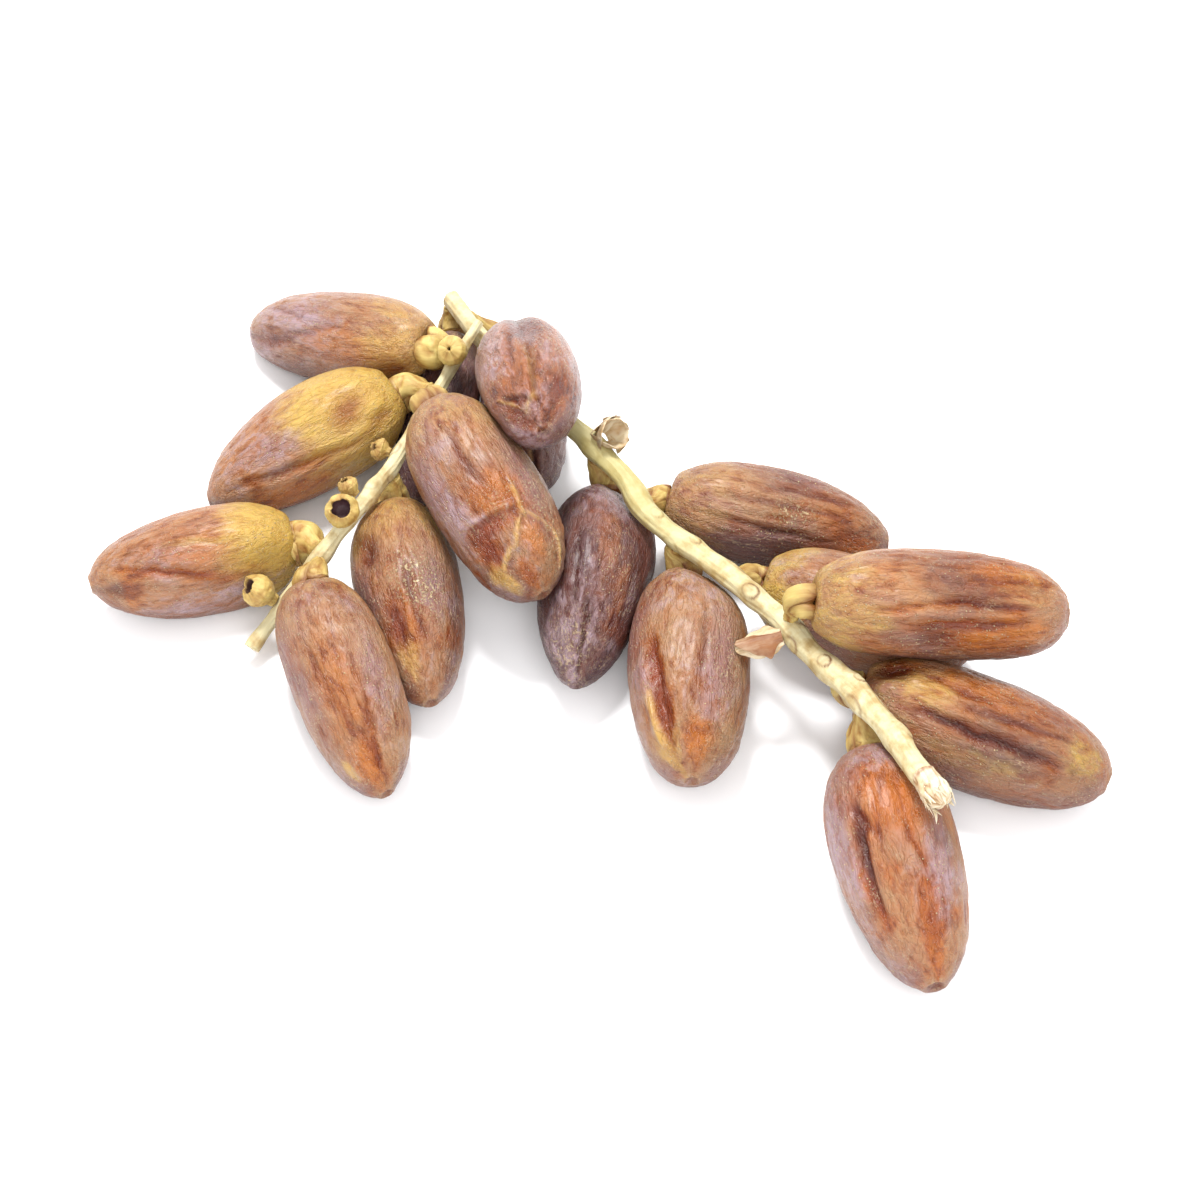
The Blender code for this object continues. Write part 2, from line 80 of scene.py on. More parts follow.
FRUITS = {
    "date_01": Fruit("date_brown", 11, 0.60, 0.24, 0.75, 0.1, 0.7, 0.5, [
        Mark("patch", 0.38, 60, 9, 6, 0, 0, "amber", 0.5),
        Mark("patch", 0.75, 30, 10, 9, 0, 0, "bloom", 0.8),
        Mark("patch", 0.95, 40, 5, 8, 0, 0, "bloom", 0.5),
        Mark("fold", 0.55, 45, 9, 1.2, 20, 0.5, "bloom", 0.3),
        Mark("fold", 0.72, 15, 7, 1.0, -15, 0.5, "dark", 0.2),
        Mark("dent", 0.10, 95, 4, 3, 0, 0.7, "dark", 0.4),
        Mark("dent", 0.8, 60, 6, 3, 10, 0.6, "bloom", 0.2),
    ]),
    "date_02": Fruit("date_golden", 12, 0.85, 0.42, 0.5, 0.1, 0.6, 0.5, [
        Mark("dent", 0.24, 31, 4.5, 3.0, 30, 0.7, "gold", 0.6),
        Mark("patch", 0.25, 42, 1.3, 0.8, 30, 0, "dark", 0.35),
        Mark("dent", 0.12, 60, 2.5, 2, 0, 0.6, "dark", 0.2),
        Mark("patch", 0.30, 5, 9, 8, 0, 0, "gold", 0.6),
        Mark("patch", 0.62, 100, 16, 5, 0, 0, "amber", 0.7),
        Mark("patch", 0.78, 20, 9, 9, 0, 0, "bloom", 0.6),
        Mark("fold", 0.45, 62, 10, 1.0, -8, 0.6, "amber", 0.5),
        Mark("fold", 0.7, 50, 8, 0.9, -10, 0.4, "dark", 0.3),
    ]),
    "date_03": Fruit("date_golden", 13, 0.90, 0.28, 0.3, 0.1, 0.8, 0.4, [
        Mark("fold", 0.60, 46, 8.5, 1.0, -20, 1.1, "amber", 1.0),
        Mark("fold", 0.42, 20, 8, 0.8, -12, 0.4, "gold", 0.4),
        Mark("patch", 0.45, 30, 10, 6, 0, 0, "amber", 0.35),
        Mark("patch", 0.42, 100, 12, 4, 0, 0, "bloom", 0.8),
        Mark("patch", 0.80, 0, 7, 8, 0, 0, "bloom", 0.4),
        Mark("dent", 0.85, 60, 4, 3, 0, 0.6, "dark", 0.3),
        Mark("patch", 0.12, 20, 5, 8, 0, 0, "gold", 0.7),
    ]),
    "date_04": Fruit("date_brown", 14, 0.28, 0.20, 0.35, 0.1, 1.0, 0.6, [
        Mark("patch", 0.15, -10, 6, 8, 0, 0, "bloom", 0.35),
        Mark("patch", 0.55, -15, 12, 5, 0, 0, "amber", 0.4),
        Mark("patch", 0.90, -25, 4, 5, 0, 0, "amber", 0.9),
        Mark("patch", 0.89, -58, 1.8, 1.6, 0, 0, "gold", 1.0),
        Mark("patch", 0.60, 38, 14, 4, 0, 0, "sugar", 0.35),
        Mark("dent", 0.55, -53, 0.7, 0.5, 0, -0.25, "sugar", 1.0),
        Mark("dent", 0.86, -5, 4, 2, 15, 0.6, "amber", 0.5),
        Mark("fold", 0.5, -30, 10, 0.8, 4, 0.4, "dark", 0.3),
        Mark("fold", 0.75, 5, 7, 0.8, -8, 0.5, "amber", 0.3),
    ]),
    "date_05": Fruit("date_brown", 15, 0.55, 0.30, 0.3, 0.2, 0.7, 0.9, [
        Mark("dent", 0.29, -45, 3.5, 2.5, 10, 1.2, "dark", 0.3),
        Mark("patch", 0.52, 10, 7, 5, 20, 0, "sugar", 1.0),
        Mark("patch", 0.45, -8, 4, 3, 0, 0, "sugar", 0.6),
        Mark("patch", 0.70, 58, 12, 3.5, 0, 0, "dark", 0.7),
        Mark("patch", 0.84, -22, 4, 3, 0, 0, "gold", 0.7),
        Mark("patch", 0.70, -15, 6, 4, 0, 0, "amber", 0.5),
        Mark("patch", 0.92, 10, 4, 7, 0, 0, "bloom", 0.4),
        Mark("dent", 0.72, -25, 6, 2.5, 0, 0.8, "amber", 0.3),
        Mark("fold", 0.62, 0, 8, 0.9, 6, 0.5, "dark", 0.4),
    ]),
    "date_06": Fruit("date_brown", 16, 0.35, 0.26, 0.35, 0.2, 0.7, 1.1, [
        Mark("patch", 0.60, -10, 5.0, 5.5, 0, 0, "amber", 0.75),
        Mark("dent", 0.70, -30, 1.7, 5.5, -8, 0.9, "amber", 1.0),
        Mark("fold", 0.655, -30, 7.0, 0.5, 84, -0.7, "bloom", 0.6),
        Mark("dent", 0.79, -50, 3.4, 3.4, 0, 0.7, "amber", 0.8),
        Mark("fold", 0.65, 9, 4.0, 0.5, -4, -0.7, "gold", 0.7),
        Mark("fold", 0.775, -8, 3.8, 0.5, -44, -0.9, "gold", 0.85),
        Mark("fold", 0.855, -37, 3.2, 0.5, -65, -0.9, "gold", 0.9),
        Mark("fold", 0.765, 22, 3.6, 0.5, 51, -0.7, "gold", 0.6),
        Mark("fold", 0.87, 44, 3.4, 0.5, 24, -0.6, "gold", 0.6),
        Mark("dent", 0.84, 4, 3.6, 3.4, 0, -1.0, "amber", 0.75),
        Mark("dent", 0.94, -22, 2.2, 2.8, 0, 0.4, "amber", 1.0),
        Mark("patch", 0.90, -66, 3.0, 3.0, 0, 0, "gold", 0.9),
        Mark("patch", 0.64, -12, 3.5, 3.5, 0, 0, "sugar", 0.35),
        Mark("patch", 0.30, -35, 7, 5, 0, 0, "bloom", 0.4),
        Mark("patch", 0.70, 40, 12, 3, 0, 0, "sugar", 0.6),
        Mark("fold", 0.35, -20, 9, 0.9, 5, 0.5, "dark", 0.3),
        Mark("patch", 0.55, -70, 12, 5, 0, 0, "bloom", 0.5),
    ]),
    "date_07": Fruit("date_dark", 17, 0.24, 0.14, 0.4, 0.7, 1.0, 0.5, [
        Mark("patch", 0.7, 0, 12, 14, 0, 0, "dark", 0.7),
    ]),
    "date_08": Fruit("date_dark", 18, 0.24, 0.18, 0.2, 0.4, 1.0, 0.9, [
        Mark("patch", 0.9, -25, 5, 4, 0, 0, "gold", 0.5),
        Mark("fold", 0.85, 0, 5, 0.9, 0, 0.8, "dark", 0.8),
    ]),
    "date_09": Fruit("date_dark", 19, 0.16, 0.14, 0.7, 0.0, 0.5, 0.8, [
        Mark("dent", 0.25, 2, 8, 2.6, 2, 1.8, "dark", 0.3),
        Mark("patch", 0.60, 0, 15, 13, 0, 0, "amber", 0.8),
        Mark("fold", 0.72, -2, 8, 0.9, -4, 0.9, "gold", 0.8),
        Mark("fold", 0.55, -22, 6, 0.8, -8, 0.6, "dark", 0.4),
        Mark("dent", 0.84, 36, 5.0, 3.0, 0, 0.7, "amber", 1.0),
        Mark("dent", 0.96, -60, 3.5, 5.0, 0, 0.8, "amber", 1.0),
        Mark("fold", 0.87, -40, 4.5, 0.6, 65, 0.8, "dark", 0.7),
        Mark("fold", 0.92, -25, 4.0, 0.6, -70, -0.7, "gold", 0.9),
        Mark("fold", 0.85, -55, 3.5, 0.5, 40, -0.6, "gold", 0.6),
        Mark("patch", 0.50, -38, 7, 4, 0, 0, "bloom", 0.5),
    ]),
    "date_10": Fruit("date_dark", 20, 0.20, 0.13, 0.5, 0.75, 1.0, 0.5, [
        Mark("fold", 0.84, 4, 5.5, 1.0, 0, 1.0, "dark", 1.0),
        Mark("patch", 0.45, 15, 12, 3, 6, 0, "amber", 0.45),
        Mark("patch", 0.65, 38, 9, 2.5, 0, 0, "amber", 0.4),
        Mark("patch", 0.75, -40, 9, 3, 0, 0, "bloom", 0.6),
        Mark("patch", 0.90, -20, 6, 8, 0, 0, "sugar", 0.6),
        Mark("patch", 0.82, -15, 9, 9, 0, 0, "bloom", 0.8),
        Mark("patch", 0.15, -5, 5, 9, 0, 0, "bloom", 0.7),
        Mark("fold", 0.55, -15, 10, 0.9, 3, 0.4, "dark", 0.3),
    ]),
    "date_11": Fruit("date_brown", 21, 0.28, 0.20, 0.4, 0.1, 0.8, 0.7, [
        Mark("fold", 0.68, -36, 9.5, 1.5, 2, 1.9, "amber", 1.0),
        Mark("fold", 0.80, -46, 5, 0.8, 0, -0.6, "gold", 1.0),
        Mark("dent", 0.76, -30, 4.5, 2.0, 0, 0.5, "amber", 0.8),
        Mark("patch", 0.20, 0, 6, 9, 0, 0, "bloom", 0.55),
        Mark("patch", 0.60, 45, 14, 3, 0, 0, "sugar", 0.5),
        Mark("patch", 0.90, 8, 3, 4, 0, 0, "amber", 0.9),
        Mark("fold", 0.87, 12, 4.0, 0.7, 80, 0.6, "amber", 0.6),
        Mark("patch", 0.93, -40, 4, 4, 0, 0, "gold", 0.6),
        Mark("fold", 0.5, 12, 9, 0.8, -4, 0.4, "dark", 0.25),
    ]),
    "date_12": Fruit("date_brown", 22, 0.30, 0.22, 0.1, 0.3, 1.2, 0.6, [
        Mark("patch", 0.55, -30, 4, 3.5, 0, 0, "sugar", 0.8),
        Mark("dent", 0.86, -52, 4, 3, 10, 0.5, "amber", 0.9),
        Mark("fold", 0.45, -22, 12, 0.8, 3, 0.6, "dark", 0.4),
        Mark("fold", 0.42, -52, 12, 0.8, -3, 0.6, "dark", 0.4),
        Mark("fold", 0.60, 2, 9, 0.8, 5, 0.5, "dark", 0.3),
        # Painted shadow: the dark band along this date's lower side, where it lies in the strand's shade.
        Mark("patch", 0.50, -95, 18, 6, 0, 0, "dark", 0.9),
        Mark("patch", 0.93, 0, 3, 7, 0, 0, "sugar", 0.5),
        Mark("patch", 0.75, -20, 7, 5, 0, 0, "amber", 0.4),
    ]),
    "date_13": Fruit("date_golden", 23, 0.70, 0.16, 0.3, 0.1, 0.8, 0.6, [
        Mark("patch", 0.10, -55, 5, 4, 0, 0, "gold", 0.8),
        Mark("patch", 0.12, 0, 5, 6, 0, 0, "bloom", 0.5),
    ]),
    "date_14": Fruit("date_golden", 24, 0.38, 0.22, 0.15, 0.15, 1.3, 0.7, [
        Mark("patch", 0.54, -15, 7, 4.5, -10, 0, "dark", 0.75),
        Mark("patch", 0.70, -70, 9, 4, 0, 0, "amber", 0.9),
        Mark("patch", 0.70, 5, 9, 4, 0, 0, "amber", 0.4),
        Mark("patch", 0.80, -10, 6, 5, 0, 0, "gold", 0.25),
        Mark("fold", 0.60, -58, 10, 1.0, 4, 0.9, "amber", 0.6),
        Mark("fold", 0.42, -38, 10, 0.9, 8, 0.7, "amber", 0.4),
        Mark("fold", 0.66, -36, 8, 0.9, -4, 0.7, "dark", 0.4),
        Mark("fold", 0.75, -5, 8, 0.9, 6, 0.6, "amber", 0.4),
        Mark("dent", 0.48, -75, 5, 3, 0, 0.8, "dark", 0.3),
    ]),
    "date_15": Fruit("date_golden", 25, 0.22, 0.24, 0.3, 0.3, 1.0, 0.8, [
        Mark("fold", 0.50, -36, 14, 1.1, -3, 1.5, "dark", 0.8),
        Mark("patch", 0.60, -38, 10, 4.5, -3, 0, "dark", 0.6),
        Mark("patch", 0.48, 15, 9, 5, 0, 0, "amber", 0.6),
        Mark("patch", 0.55, 10, 12, 7, 0, 0, "dark", 0.3),
        Mark("patch", 0.88, -15, 4, 6, 0, 0, "gold", 0.40),
        Mark("dent", 0.08, 12, 3, 3, 0, 1.2, "dark", 0.7),
        Mark("dent", 0.10, -22, 2.5, 2.5, 0, -0.9, "dark", 0.4),
        Mark("patch", 0.24, -8, 5, 4, 0, 0, "gold", 0.45),
        Mark("fold", 0.62, -10, 9, 0.9, 6, 0.8, "dark", 0.5),
        Mark("fold", 0.40, 0, 8, 0.9, -8, 0.6, "amber", 0.4),
        Mark("patch", 0.50, -60, 12, 3, 0, 0, "gold", 0.25),
    ]),
    "date_16": Fruit("date_amber", 26, 0.12, 0.13, 0.35, 0.1, 0.9, 0.8, [
        Mark("fold", 0.48, -42, 9, 1.1, -5, 1.6, "dark", 0.9),
        Mark("fold", 0.62, -50, 6, 1.0, 10, 0.8, "amber", 0.7),
        Mark("fold", 0.36, -34, 4, 0.9, 35, 0.6, "dark", 0.5),
        Mark("patch", 0.30, 0, 8, 7, 0, 0, "amber", 0.7),
        Mark("patch", 0.82, 6, 7, 3, -5, 0, "amber", 1.0),
        Mark("dent", 0.80, 6, 6, 2.5, -5, 0.6, "gold", 0.2),
        Mark("patch", 0.45, -72, 14, 4, 0, 0, "bloom", 0.9),
        Mark("patch", 0.10, -10, 4, 8, 0, 0, "bloom", 0.6),
        Mark("patch", 0.60, 30, 9, 4, 0, 0, "bloom", 0.5),
        Mark("fold", 0.55, 8, 7, 0.8, 12, 0.5, "amber", 0.5),
    ]),
}

# The scar at a date's tip: radius of its rim, depth of its pit, how pale and crusty it is.
TIPS = {
    "date_12": (2.4, 0.35, 0.7), "date_14": (3.0, 0.45, 1.0), "date_15": (2.0, 1.1, 0.8),
    "date_16": (1.9, 0.6, 0.5), "date_10": (1.2, 0.3, 0.6),
}
PLAIN_TIP = (1.3, 0.35, 0.35)

ROUTES = {
    "long_strand": [
        (-28.0, 59.0, 16.5), (-21.5, 47.5, 17.0), (-14.5, 37.0, 17.5), (-4.0, 24.5, 18.0),
        (4.5, 13.0, 17.5), (8.0, 6.0, 17.0), (17.5, -3.0, 16.5), (27.0, -13.5, 17.0),
        (31.0, -18.5, 17.5), (38.0, -29.0, 18.5), (43.0, -35.0, 19.5), (49.0, -48.5, 22.5),
        (52.0, -55.0, 24.0),
    ],
    "short_strand": [
        (-22.0, 48.5, 21.0), (-28.5, 35.5, 18.5), (-33.0, 26.0, 18.0), (-36.5, 16.5, 17.5),
        (-41.0, 9.0, 17.0), (-46.0, 3.0, 14.5), (-51.5, -2.5, 10.5), (-57.0, -8.5, 6.0),
        (-61.0, -13.5, 3.0),
    ],
}
# Thickness of each strand between its swellings.
THICKNESS = {"long_strand": 3.7, "short_strand": 2.2}

# Where the strands swell, and their buds, scars and torn stubs: station, angle round, half
# length, half width, height of the bump, darkness of its brown outline.
KNOTS = {
    "long_strand": [
        (1.0, 180, 3.0, 2.0, 0.4, 0.2), (5.0, 120, 3.0, 2.0, 0.4, 0.2),
        (18.0, 60, 3.5, 2.2, 0.5, 0.3), (46.5, 90, 3.5, 2.2, 0.9, 0.4),
        (48.0, -70, 3.5, 2.2, 0.8, 0.4), (61.0, 90, 4.0, 2.4, 0.9, 0.5),
        (66.5, 10, 1.7, 1.2, 1.1, 0.9), (72.0, -100, 3.0, 2.0, 0.6, 0.4),
        (75.5, 20, 1.5, 1.1, 1.0, 0.9), (84.0, 90, 3.5, 2.4, 0.9, 0.6),
        (90.5, -20, 2.2, 1.4, 1.6, 0.9), (99.5, 60, 3.0, 2.2, 0.8, 0.7),
        (103.0, -90, 2.5, 1.8, 0.6, 0.5), (110.5, -15, 1.6, 1.2, 1.0, 0.9),
        (112.0, 90, 3.0, 2.0, 0.6, 0.4), (117.0, 40, 1.6, 1.2, 1.0, 0.9),
        (120.5, -100, 3.5, 2.2, 0.8, 0.4), (130.5, 70, 2.4, 1.6, 0.9, 0.5),
    ],
    "short_strand": [
        (7.0, 160, 2.5, 1.6, 0.5, 0.3), (10.0, -60, 2.5, 1.6, 0.6, 0.3),
        (17.0, 160, 2.5, 1.6, 0.5, 0.3), (24.0, 80, 2.5, 1.6, 0.5, 0.3),
        (32.5, -60, 2.4, 1.6, 0.6, 0.4), (37.0, 90, 2.5, 1.6, 0.6, 0.4),
        (41.5, -20, 1.8, 1.3, 1.0, 0.2), (44.5, 120, 2.4, 1.6, 0.6, 0.5),
        (49.0, -60, 2.4, 1.6, 0.6, 0.5), (56.5, 150, 2.6, 1.8, 0.7, 0.4),
        (58.0, 60, 2.4, 1.6, 0.6, 0.4), (68.0, -90, 2.4, 1.6, 0.6, 0.4),
        (76.0, 60, 2.0, 1.3, 0.4, 0.3),
    ],
}

# Caps: how wide against the usual, how ragged the lobes, how brown.
CAP_LOOKS = {
    "cap_01": (1.10, 1.2, 0.20), "cap_02": (0.95, 1.0, 0.30), "cap_03": (1.05, 1.4, 0.10),
    "cap_04": (0.85, 1.0, 0.5), "cap_05": (0.90, 1.0, 0.25), "cap_06": (0.90, 1.0, 0.5),
    "cap_07": (0.85, 1.0, 0.4), "cap_08": (0.85, 1.0, 0.5), "cap_09": (0.85, 1.0, 0.6),
    "cap_10": (0.90, 1.3, 0.6), "cap_11": (0.80, 1.0, 0.6), "cap_12": (0.78, 0.9, 0.55),
    "cap_13": (0.78, 0.9, 0.7), "cap_14": (0.74, 1.5, 0.35), "cap_15": (0.85, 1.2, 0.5),
    "cap_16": (0.80, 1.0, 0.5),
}

# Empty cups: how ragged the rim, how wide its mouth against the cup, how dark the painted shade
# in its hollow, how brown outside, how wrinkled, and the direction that it faces.
CUP_LOOKS = {
    "empty_cup_1": (0.10, 0.12, 0.5, 0.02, 0.5, (-0.35, -0.62, 0.70)),
    "empty_cup_2": (0.4, 0.35, 0.5, 0.4, 1.0, (-0.6, -0.1, 0.6)),
    "empty_cup_3": (0.4, 0.40, 0.5, 0.3, 0.8, (-0.3, 0.2, 0.9)),
    "empty_cup_4": (0.45, 0.56, 1.0, 0.15, 0.6, (0.05, -0.52, 0.85)),
    "empty_cup_5": (0.35, 0.48, 0.9, 0.10, 0.7, (-0.70, -0.20, 0.69)),
}

# ---------------------------------------------------------------- arithmetic of the surfaces

SLOPES = np.random.default_rng(5).normal(size=(512, 3))
SLOPES /= np.linalg.norm(SLOPES, axis=1, keepdims=True)
HASH = (73856093, 19349663, 83492791)


def linear(code):
    """An sRGB hex colour as linear red, green, blue and 1."""
    shares = np.array([int(code[k:k + 2], 16) for k in (1, 3, 5)]) / 255
    curved = np.where(shares <= 0.04045, shares / 12.92, ((shares + 0.055) / 1.055) ** 2.4)
    return (*curved, 1.0)


def unit(vectors):
    return vectors / np.linalg.norm(vectors, axis=-1, keepdims=True)


def smooth_step(values, low, high):
    """0 below low, 1 above high, and 3t^2 - 2t^3 between."""
    share = np.clip((values - low) / (high - low), 0, 1)
    return share * share * (3 - 2 * share)


def noise(points, seed=0):
    """Gradient noise, about -1 to 1.

    Each corner of a point's unit cell has a fixed slope. The slopes' heights at the point are
    blended with the weights 6t^5 - 15t^4 + 10t^3 of its place in the cell.
    """
    cell = np.floor(points).astype(np.int64)
    inside = points - cell
    ease = inside**3 * (inside * (inside * 6 - 15) + 10)
    total = np.zeros(points.shape[:-1])
    for corner in np.ndindex(2, 2, 2):
        place = cell + np.array(corner)
        key = place[..., 0] * HASH[0] ^ place[..., 1] * HASH[1] ^ place[..., 2] * HASH[2]
        key = (key ^ (key >> 13)) + seed * 977
        height = np.sum(SLOPES[key % len(SLOPES)] * (inside - np.array(corner)), axis=-1)
        total += np.prod(np.where(corner, ease, 1 - ease), axis=-1) * height
    return total * 1.6


def cloudy(points, seed=0, octaves=3):
    """Noise summed with itself at double the fineness and half the height, a few times."""
    return sum(noise(points * 2**k, seed + k) / 2**k for k in range(octaves))


def ridged(points, seed=0):
    """1 on thin winding lines, falling to 0 between them: one less 2.2 times the noise."""
    return 1 - np.minimum(np.abs(noise(points, seed)) * 2.2, 1)


def catmull_rom(points, per_span):
    """The smooth curve through the points whose slope at each is half the way between its neighbours."""
    route = np.array(points, float)
    ends = np.vstack([2 * route[0] - route[1], route, 2 * route[-1] - route[-2]])
    share = (np.arange(per_span) / per_span)[:, None]
    spans = []
    for before, start, stop, after in zip(ends, ends[1:], ends[2:], ends[3:]):
        line = 2 * start + (stop - before) * share
        bend = (2 * before - 5 * start + 4 * stop - after) * share**2
        twist = (3 * start - before - 3 * stop + after) * share**3
        spans.append((line + bend + twist) / 2)
    return np.vstack(spans + [route[-1:]])


def turns_round(rows, around):
    """The angles of evenly spaced points round a ring, the same in every row."""
    return np.broadcast_to(np.arange(around) * 2 * math.pi / around, (rows, around))


def circling(up, side, turn):
    """Directions turned from up towards side by each angle."""
    return up * np.cos(turn)[..., None] + side * np.sin(turn)[..., None]


def lengths_along(points):
    steps = np.linalg.norm(np.diff(points, axis=0), axis=1)
    return np.concatenate([[0.0], np.cumsum(steps)])


def even_path(points, step):
    """The same line with its points a fixed step apart."""
    along = lengths_along(points)
    fine = np.linspace(0, along[-1], max(3, int(along[-1] / step) + 1))
    return np.column_stack([np.interp(fine, along, axis) for axis in points.T]), fine


def path_frames(path, upward):
    """At each point of a path: its direction, a direction square to it near upward, and the third."""
    tangent = unit(np.gradient(path, axis=0))
    up = unit(upward - tangent * (tangent @ upward)[:, None])
    return tangent, up, np.cross(up, tangent)


def swept(path, radii, turns, upward):
    """Rings round a path: at each point a circle in the plane square to it, of its own radii."""
    _, up, side = path_frames(path, upward)
    return path[:, None] + radii[..., None] * circling(up[:, None], side[:, None], turns)


def turned_marks(along, around, marks, length, girth_radius, seed):
    """Height and colour that the marks add to a skin laid flat, in millimetres.

    A mark's own u and v run from -1 to 1 over its long and wide half lengths, and v wanders a
    little along it. A dent is exp(-(u^2+v^2)); a fold is a sharp valley exp(-|v|^1.15) between
    two lips, faded towards its ends by exp(-u^4).
    """
    height = np.zeros(np.broadcast(along, around).shape)
    tints = {}
    for k, mark in enumerate(marks):
        down = (along - mark.along) * length
        across = (np.radians(around - mark.round) + np.pi) % (2 * np.pi) - np.pi
        across = across * girth_radius
        turn = np.radians(mark.turn)
        u = (down * np.cos(turn) + across * np.sin(turn)) / mark.long
        v = (across * np.cos(turn) - down * np.sin(turn)) / mark.wide
        place = np.stack([u * mark.long / 4, v * mark.wide / 4, np.full_like(u, k * 3.7)], axis=-1)
        if mark.kind == "fold":
            v = v + noise(place, seed) * 0.7
            fade = np.exp(-(u**4))
            valley = np.exp(-np.abs(v) ** 1.15)
            lips = 0.3 * np.exp(-((np.abs(v) - 2.0) ** 2) / 0.8)
            height -= mark.depth * 0.75 * fade * (valley - lips)
            cover = fade * np.exp(-((v / 1.05) ** 2))
        else:
            edge = noise(place * 2.5, seed + 7) * 0.5
            cover = np.exp(-np.maximum(u * u + v * v + edge, 0) ** 1.4)
            height -= mark.depth * np.exp(-(u * u + v * v))
        kept = tints.get(mark.tint, np.zeros_like(height))
        tints[mark.tint] = np.maximum(kept, cover * mark.strength)
    return height, tints


# ---------------------------------------------------------------- meshes

Skin = namedtuple("Skin", "rings ends values")


def closed_skin(rings, values, ends=None):
    """Rows of points closed by a fan at each end, with the named values at every point."""
    if ends is None:
        ends = np.stack([rings[0].mean(axis=0), rings[-1].mean(axis=0)])
    flat = {}
    for name, value in values.items():
        value = np.broadcast_to(value, rings.shape[:2] + np.shape(value)[2:])
        caps = np.stack([value[0].mean(axis=0), value[-1].mean(axis=0)])
        flat[name] = np.concatenate([value.reshape(-1, *value.shape[2:]), caps])
    return Skin(rings, ends, flat)


def faces_of(rows, around):
    """Squares between neighbouring rows and a triangle fan at both ends, as corner numbers."""
    low = np.arange(rows - 1)[:, None] * around + np.arange(around)
    beside = np.roll(low, -1, axis=1)
    squares = np.stack([low, beside, beside + around, low + around], axis=-1).reshape(-1, 4)
    first = np.arange(around)
    last = first + (rows - 1) * around
    pole = np.full(around, rows * around)
    start_fan = np.stack([pole, np.roll(first, -1), first], axis=-1)
    end_fan = np.stack([pole + 1, last, np.roll(last, -1)], axis=-1)
    return squares, np.concatenate([start_fan, end_fan])


def volume_of(points, triangles):
    corner = points[triangles]
    return np.sum(corner[:, 0] * np.cross(corner[:, 1], corner[:, 2])) / 6


def make_piece(name, skins, finish, nodes):
    """One object from closed skins in millimetres, faces outward, riding on the bunch."""
    points, squares, triangles, start = [], [], [], 0
    for skin in skins:
        here = np.concatenate([skin.rings.reshape(-1, 3), skin.ends])
        four, three = faces_of(*skin.rings.shape[:2])
        halves = np.concatenate([four[:, [0, 1, 2]], four[:, [0, 2, 3]], three])
        if volume_of(here - here.mean(axis=0), halves) < 0:
            four, three = four[:, ::-1], three[:, ::-1]
        points.append(here)
        squares.append(four + start)
        triangles.append(three + start)
        start += len(here)
    points, squares = np.concatenate(points), np.concatenate(squares)
    triangles = np.concatenate(triangles)
    points[:, 2] = np.maximum(points[:, 2], FLOOR_GAP)
    mesh = bpy.data.meshes.new(name)
    mesh.vertices.add(len(points))
    mesh.vertices.foreach_set("co", (points * MM).astype(np.float32).ravel())
    corners = np.concatenate([squares.ravel(), triangles.ravel()]).astype(np.int32)
    mesh.loops.add(len(corners))
    mesh.loops.foreach_set("vertex_index", corners)
    sizes = np.concatenate([np.full(len(squares), 4), np.full(len(triangles), 3)])
    starts = np.concatenate([[0], np.cumsum(sizes)[:-1]]).astype(np.int32)
    mesh.polygons.add(len(sizes))
    mesh.polygons.foreach_set("loop_start", starts)
    mesh.update(calc_edges=True)
    mesh.shade_smooth()
    for key in skins[0].values:
        value = np.concatenate([skin.values[key] for skin in skins]).astype(np.float32)
        if value.ndim == 1:
            mesh.attributes.new(key, "FLOAT", "POINT").data.foreach_set("value", value)
        else:
            layer = mesh.attributes.new(key, "FLOAT_VECTOR", "POINT")
            layer.data.foreach_set("vector", value.ravel())
    piece = bpy.data.objects.new(name, mesh)
    bpy.context.scene.collection.objects.link(piece)
    mesh.materials.append(finish)
    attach(piece, BODY)
    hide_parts(*nodes)
    return piece


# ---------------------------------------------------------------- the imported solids, measured

def corners_of(node):
    """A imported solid's triangles, in millimetres."""
    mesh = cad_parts[node].data
    points = np.empty(len(mesh.vertices) * 3, np.float32)
    mesh.vertices.foreach_get("co", points)
    corner = np.empty(len(mesh.loops), np.int32)
    mesh.loops.foreach_get("vertex_index", corner)
    return points.reshape(-1, 3)[corner].reshape(-1, 3, 3).astype(float) / MM


def middle_of(node):
    low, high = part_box(node)
    return np.array((low + high) / 2) / MM


Axes = namedtuple("Axes", "middle axis side up half")


def date_axes(number):
    """A date's own directions: its longest principal axis from stem to tip, its left and its top."""
    tri = corners_of(f"date_{number}")
    area = np.linalg.norm(np.cross(tri[:, 1] - tri[:, 0], tri[:, 2] - tri[:, 0]), axis=1)
    centres = tri.mean(axis=1)
    mean = np.average(centres, axis=0, weights=area)
    spread = (centres - mean).T @ ((centres - mean) * area[:, None])
    axis = np.linalg.eigh(spread)[1][:, -1]
    axis = axis * np.sign((mean - middle_of(f"cap_{number}")) @ axis)
    along = tri.reshape(-1, 3) @ axis
    middle = mean + axis * ((along.min() + along.max()) / 2 - mean @ axis)
    side = unit(np.cross([0.0, 0.0, 1.0], axis))
    return tri, Axes(middle, axis, side, np.cross(axis, side), (along.max() - along.min()) / 2)


def reach_of(starts, ways, tri):
    """How far each ray runs to the solid's skin, by the Moller-Trumbore test on every pair."""
    first, second = tri[:, 1] - tri[:, 0], tri[:, 2] - tri[:, 0]
    across = np.cross(ways[:, None], second[None])
    scale = np.sum(across * first, axis=-1)
    scale = np.where(np.abs(scale) < 1e-9, 1e-9, scale)
    offset = starts[:, None] - tri[None, :, 0]
    u = np.sum(offset * across, axis=-1) / scale
    turned = np.cross(offset, first[None])
    v = np.sum(ways[:, None] * turned, axis=-1) / scale
    reach = np.sum(turned * second[None], axis=-1) / scale
    hit = (u > -1e-6) & (v > -1e-6) & (u + v < 1 + 1e-6) & (reach > 0)
    return np.where(hit, reach, 0).max(axis=1)


